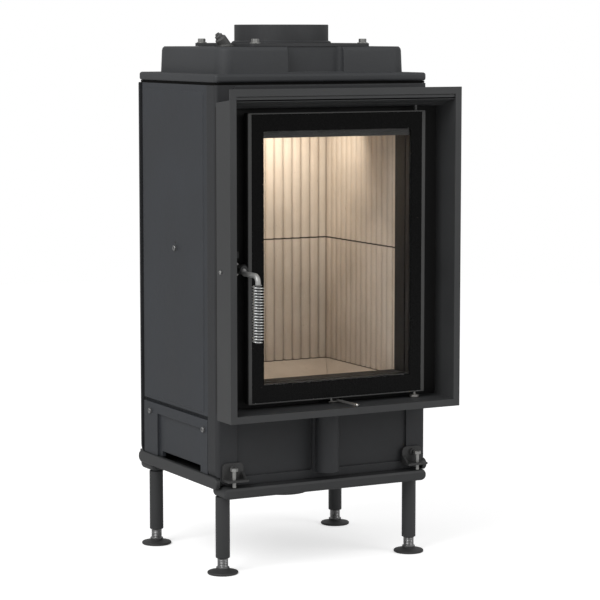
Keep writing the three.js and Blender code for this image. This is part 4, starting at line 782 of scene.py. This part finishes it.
# The coil: at turn n a point COIL_R out at n whole turns, n / COIL_TURNS of the way down, its first
# and last half turn drawn in along a quarter sine until the wire all but lies on the bar.
turn = np.linspace(0.0, COIL_TURNS, COIL_TURNS * 32 + 1)
ease = np.clip(np.minimum(turn / 0.5, (COIL_TURNS - turn) / 0.5), 0.0, 1.0)
close = ROD_R + 0.0003 + COIL_WIRE
reach = close + (COIL_R - close) * np.sin(0.5 * np.pi * ease)
coil_angle = 2.0 * np.pi * turn
coil_out = np.stack([np.cos(coil_angle), np.sin(coil_angle), np.zeros_like(turn)], axis=1)
coil_z = COIL_TOP + (COIL_FOOT - COIL_TOP) * turn / COIL_TURNS
coil_path = coil_out * reach[:, None] + np.stack(
    [np.full_like(turn, COIL_X), np.full_like(turn, coil_y), coil_z], axis=1)

# The bar: out of the door, down by BAR_DROP along a smooth step, then round a quarter circle to
# hang straight. It takes the place of the rod outside the door, which is cut away.
bar_z = SHAFT_Z - BAR_DROP
crank = np.linspace(0.0, 1.0, 9)
bend = np.linspace(0.0, np.pi / 2.0, 17)
bar_line = [(door_face + 0.003, SHAFT_Z)]
bar_line += [(door_face - 0.002 - CRANK_L * t, SHAFT_Z - BAR_DROP * (3.0 * t * t - 2.0 * t ** 3))
             for t in crank]
bar_line += [(coil_y + BEND_R * (1.0 - math.sin(a)), bar_z - BEND_R * (1.0 - math.cos(a)))
             for a in bend]
bar_line += [(coil_y, COIL_TOP)]
bar_path = np.array([(COIL_X, y, z) for y, z in bar_line])
cut_away("handle_rod", (COIL_X - 0.05, coil_y - 0.05, BAR_FOOT - 0.05),
        (COIL_X + 0.05, door_face - 0.0005, SHAFT_Z + 0.05))
piece_of("handle_bar", [with_caps(round_path(bar_path, ROD_R, 28, (1.0, 0.0, 0.0)))],
         handle_steel, "handle")
# Inside the coil the bar is a dark copy of the handle steel: painted shade between the spring's turns.
core_path = np.array([(COIL_X, coil_y, z) for z in np.linspace(COIL_TOP + 0.001, BAR_FOOT, 24)])
piece_of("handle_core", [with_caps(round_path(core_path, ROD_R, 28, (1.0, 0.0, 0.0)))],
         plated("core_shaded_steel", (0.10, 0.10, 0.10), 0.5, 0.5), "handle")
hub = [[0.0, 0.0], [HUB_R, 0.0], [HUB_R, HUB_L - 0.0015], [HUB_R - 0.0010, HUB_L], [0.0, HUB_L]]
piece_of("handle_hub", [faced(lathe(hub, 40), (COIL_X, door_face - 0.0003, SHAFT_Z), (0.0, -1.0, 0.0))],
         sheet_paint("handle_hub_black", (0.020, 0.020, 0.020), 0.45), "handle")
spring = piece_of("handle_spring", [with_caps(round_path(coil_path, COIL_WIRE, 10, coil_out))],
                  plated("spring_steel", (0.60, 0.61, 0.60), 0.26), "handle")
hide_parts("handle_coil")

# ---- air lever and slide --------------------------------------------------------------------
# A drawn round rod pushed left or right by hand; its tail moves the black slide that opens the
# air ports in the casting behind.
dress(["air_lever"], plated("lever_steel", (0.50, 0.49, 0.47), 0.32))
dress(["air_slide"], sheet_paint("air_slide_paint", (0.012, 0.012, 0.012), 0.5))


# ---- fire chamber lining --------------------------------------------------------------------
# Pressed firebricks with a fluted face, loose-laid in two courses that reach forward through the
# front casting. Warm cream, with fine grog specks and pores, and painted shade darkening the flutes and
# the joints. Plain bricks of the same make form the hearth and the baffle.
def firebrick(name, seams=()):
    """Pressed firebrick: sandy grain, grog specks, pores, painted shade in the hollows, and a dark line of
    painted shade at the height of each seam."""
    finish, tree, shader, place = finish_start(name)
    rounded = soft_edges(tree, 0.0010)[0]
    grain = noise(tree, place, 0.0014, 4.0, 0.7)
    batch = noise(tree, place, 0.09, 3.0, 0.55)
    streak = noise(tree, place, 0.010, 3.0, 0.6, (1.0, 1.0, 7.0))
    specks = spread(tree, noise(tree, place, 0.0030, 2.0, 0.6), 0.66, 0.74)
    pores = spread(tree, noise(tree, place, 0.0045, 2.0, 0.55), 0.30, 0.24)
    cream = tint(tree, spread(tree, batch, 0.3, 0.7), (0.47, 0.405, 0.335), (0.57, 0.495, 0.415))
    cream = tint(tree, spread(tree, streak, 0.45, 0.8, 0.0, 0.35), cream, (0.47, 0.375, 0.28))
    cream = tint(tree, arithmetic(tree, "MULTIPLY", specks, 0.35), cream, (0.80, 0.71, 0.58))
    cream = tint(tree, arithmetic(tree, "MULTIPLY", pores, 0.55), cream, (0.20, 0.155, 0.115))
    # Painted shade: ambient occlusion darkens the flutes, corners and joints, where shade falls.
    hollow = wired(tree, "ShaderNodeAmbientOcclusion", {"Distance": 0.006}, samples=6).outputs["AO"]
    cream = tint(tree, spread(tree, hollow, 0.78, 0.26, 0.0, 0.80), cream, (0.13, 0.10, 0.075))
    # Painted shade: a dark ragged line along each seam between courses and at the lining's foot, where the
    # gap lies in shade.
    for seam in seams:
        height = wired(tree, "ShaderNodeSeparateXYZ", {"Vector": place}).outputs["Z"]
        away = arithmetic(tree, "ABSOLUTE", arithmetic(tree, "SUBTRACT", height, seam), 0.0)
        ragged = arithmetic(tree, "ADD", away, spread(tree, grain, 0.3, 0.7, -0.0004, 0.0004))
        cream = tint(tree, spread(tree, ragged, 0.0018, 0.0009), cream, (0.035, 0.028, 0.022))
    tree.links.new(cream, shader.inputs["Base Color"])
    shader.inputs["Roughness"].default_value = 0.9
    shader.inputs["Specular IOR Level"].default_value = 0.2
    height = arithmetic(tree, "SUBTRACT", grain, arithmetic(tree, "MULTIPLY", pores, 0.8))
    tree.links.new(raised(tree, height, 0.00035, 1.0, rounded), shader.inputs["Normal"])
    return finish


FLUTE_PITCH = 0.0201
FLUTE_DEPTH = 0.0045
FLUTE_FRONT = 0.0162            # first groove of the side bricks behind the front face
CHAMBER_BACK = 0.2735           # crests of the back bricks behind the front face
NOSE_T = 0.0028                 # the side bricks' noses that reach forward through the front casting
NOSE_RISE = 0.010               # and end this far above the opening
SIDE_START = 0.0083
LAST_RIB = 0.2675               # the rib in the back corner keeps nearly its full height
RIB_STEPS = 14


def flute_depth(u, groove):
    """Depth of the fluted face at u: FLUTE_DEPTH |s|^3, with s from -1 to 1 across each rib. There is a
    rib to a pitch, and one of the sharp grooves between them lies at u = groove."""
    across = 2.0 * (((u - groove) / FLUTE_PITCH) % 1.0) - 1.0
    return FLUTE_DEPTH * np.abs(across) ** 3


def fluted_run(u0, u1, groove):
    """Places along a fluted face from u0 to u1, RIB_STEPS to a rib, with one on every groove."""
    first = math.ceil((u0 - groove) / FLUTE_PITCH * RIB_STEPS + 0.3)
    last = math.floor((u1 - groove) / FLUTE_PITCH * RIB_STEPS - 0.3)
    between = groove + np.arange(first, last + 1) * FLUTE_PITCH / RIB_STEPS
    return np.concatenate([[u0], between, [u1]])


def brick_grid(face, back, z0, z1):
    """Grid of a brick between two lines of (x, y) points, face and back: one four-cornered row to each
    pair, and a point at each end to close it."""
    rows = np.stack([level_ring(face, z0), level_ring(face, z1),
                     level_ring(back, z1), level_ring(back, z0)], axis=1)
    first, last = rows[:1].mean(axis=1, keepdims=True), rows[-1:].mean(axis=1, keepdims=True)
    return np.concatenate([first + 0.0 * rows[:1], rows, last + 0.0 * rows[-1:]])


seam_height = (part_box("brick_back_lower")[1][2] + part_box("brick_back_upper")[0][2]) / 2.0
lining_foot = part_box("brick_back_lower")[0][2]
lining_cream = firebrick("lining_firebrick", (seam_height, lining_foot))
for course in ("lower", "upper"):
    box_low, box_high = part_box("brick_back_" + course)
    z0, z1 = box_low[2], box_high[2]
    run = fluted_run(-LINING_X, LINING_X, 0.0)
    face = np.column_stack([run, CASING_FRONT + CHAMBER_BACK + flute_depth(run, 0.0)])
    back = np.column_stack([run, np.full(len(run), box_high[1])])
    fluted = piece_of("fluted_back_" + course, [brick_grid(face, back, z0, z1)],
                      lining_cream, "casing")
    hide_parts("brick_back_" + course)
    for side, hand in ((-1.0, "left"), (1.0, "right")):
        outer_x = max(abs(corner[0]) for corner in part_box("brick_%s_%s" % (hand, course)))
        deep = fluted_run(SIDE_START, CHAMBER_BACK + FLUTE_DEPTH, FLUTE_FRONT)
        nose = fluted_run(0.0, SIDE_START, FLUTE_FRONT)
        grids = []
        for places, thick_x, high in ((deep, outer_x, z1),
                                      (nose, LINING_X + NOSE_T, min(z1, OPEN_HIGH + NOSE_RISE))):
            fade = np.where(places > LAST_RIB, 0.2, 1.0)
            reach_x = LINING_X + fade * flute_depth(places, FLUTE_FRONT)
            face = np.column_stack([side * np.minimum(reach_x, thick_x - 0.0004), CASING_FRONT + places])
            back = np.column_stack([np.full(len(places), side * thick_x), CASING_FRONT + places])
            grids.append(brick_grid(face, back, z0, high))
        fluted = piece_of("fluted_%s_%s" % (hand, course), grids, lining_cream, "casing")
        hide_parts("brick_%s_%s" % (hand, course))
dress(["floor_brick_front", "floor_brick_back", "floor_brick_left", "floor_brick_right"],
      firebrick("hearth_firebrick"))
dress(["baffle_plate"], firebrick("baffle_firebrick"))

# ---- grate and ash box ----------------------------------------------------------------------
# A cast-iron grate, dark and rough from the fire, lies loose in the middle of the hearth. Under it
# stands the ash box, folded from sheet steel and painted.
dress(["fire_grate"], iron_paint("grate_iron", (0.020, 0.019, 0.018), (0.06, 0.055, 0.05), 0.0003))
dress(["ash_box"], sheet_paint("ash_box_paint", (0.020, 0.020, 0.020), 0.55))

# ---- base rails, legs and air spigot --------------------------------------------------------
# Pressed channel rails and side strips carry the casing on four tube legs with corner brackets
# and zinc-plated bolts. A short flanged spigot lets in outside air. All but the bolts is painted.
rail_grey = sheet_paint("rail_paint", (0.032, 0.033, 0.034), 0.5)
dress(["cross_rail_front", "cross_rail_rear", "side_rail_left", "side_rail_right"], rail_grey)
leg_grey = sheet_paint("leg_tube_paint", (0.034, 0.035, 0.036), 0.44)
corners = [f"{end}_{hand}" for end in ("front", "rear") for hand in ("left", "right")]
dress(["leg_tube_" + corner for corner in corners], leg_grey)
SPIGOT_H = 0.0545
SPIGOT_BORE_R = 0.048
SPIGOT_R = 0.050
FLANGE_R = 0.064
FLANGE_T = 0.003
spigot_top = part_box("air_spigot")[1][2]
spigot_foot = spigot_top - SPIGOT_H
spigot_profile = [[SPIGOT_BORE_R, spigot_foot], [SPIGOT_R, spigot_foot], [SPIGOT_R, spigot_top - FLANGE_T],
                  [FLANGE_R, spigot_top - FLANGE_T], [FLANGE_R, spigot_top], [SPIGOT_BORE_R, spigot_top],
                  [SPIGOT_BORE_R, spigot_foot]]
spigot = piece_of("short_air_spigot", [lathe(spigot_profile, 72) + np.array((0.0, flue_y, 0.0))],
                  sheet_paint("spigot_paint", (0.028, 0.028, 0.028), 0.5), "casing")
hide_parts("air_spigot")
bracket_grey = sheet_paint("bracket_paint", (0.040, 0.040, 0.040), 0.46)
dress(["corner_bracket_" + corner for corner in corners], bracket_grey)
bolt_zinc = plated("levelling_bolt_zinc", (0.34, 0.34, 0.33), 0.4, 0.7)
dress(["levelling_bolt_" + corner for corner in corners], bolt_zinc)


# ---- levelling feet -------------------------------------------------------------------------
# Each foot is a black moulded pad on a zinc-plated threaded spindle, which screws up and down in
# its leg to level the insert.
PAD_TOP = 0.0112
THREAD_FOLD = 0.0015            # of height from a ridge to the next hollow


def foot_finish(name):
    """Black pad up to PAD_TOP, and above it zinc with a fine thread: the height folded to and fro, with
    painted shade darkening the thread's hollows.
    """
    finish, tree, shader, place = finish_start(name)
    rounded = soft_edges(tree, 0.0008)[0]
    height = wired(tree, "ShaderNodeSeparateXYZ", {"Vector": place}).outputs["Z"]
    steel = spread(tree, height, PAD_TOP, PAD_TOP + 0.0006)
    grain = noise(tree, place, 0.0012, 3.0, 0.6)
    stain = noise(tree, place, 0.010, 3.0, 0.6)
    ridge = wired(tree, "ShaderNodeMath", {0: height, 1: THREAD_FOLD}, operation="PINGPONG").outputs[0]
    pad = tint(tree, spread(tree, grain, 0.3, 0.7), (0.026, 0.026, 0.026), (0.040, 0.040, 0.040))
    zinc = tint(tree, spread(tree, stain, 0.35, 0.7), (0.22, 0.22, 0.22), (0.30, 0.30, 0.30))
    # Painted shade: the zinc goes darker towards each hollow of the thread.
    zinc = tint(tree, spread(tree, ridge, 0.0009, 0.0, 0.0, 0.35), zinc, (0.12, 0.12, 0.12))
    tree.links.new(tint(tree, steel, pad, zinc), shader.inputs["Base Color"])
    tree.links.new(arithmetic(tree, "MULTIPLY", steel, 0.8), shader.inputs["Metallic"])
    tree.links.new(spread(tree, steel, 0.0, 1.0, 0.6, 0.36), shader.inputs["Roughness"])
    threaded = raised(tree, arithmetic(tree, "MULTIPLY", ridge, steel), 1.0, 0.5, rounded)
    tree.links.new(raised(tree, grain, 0.00008, 1.0, threaded), shader.inputs["Normal"])
    return finish


dress(["levelling_foot_" + corner for corner in corners], foot_finish("levelling_foot_finish"))
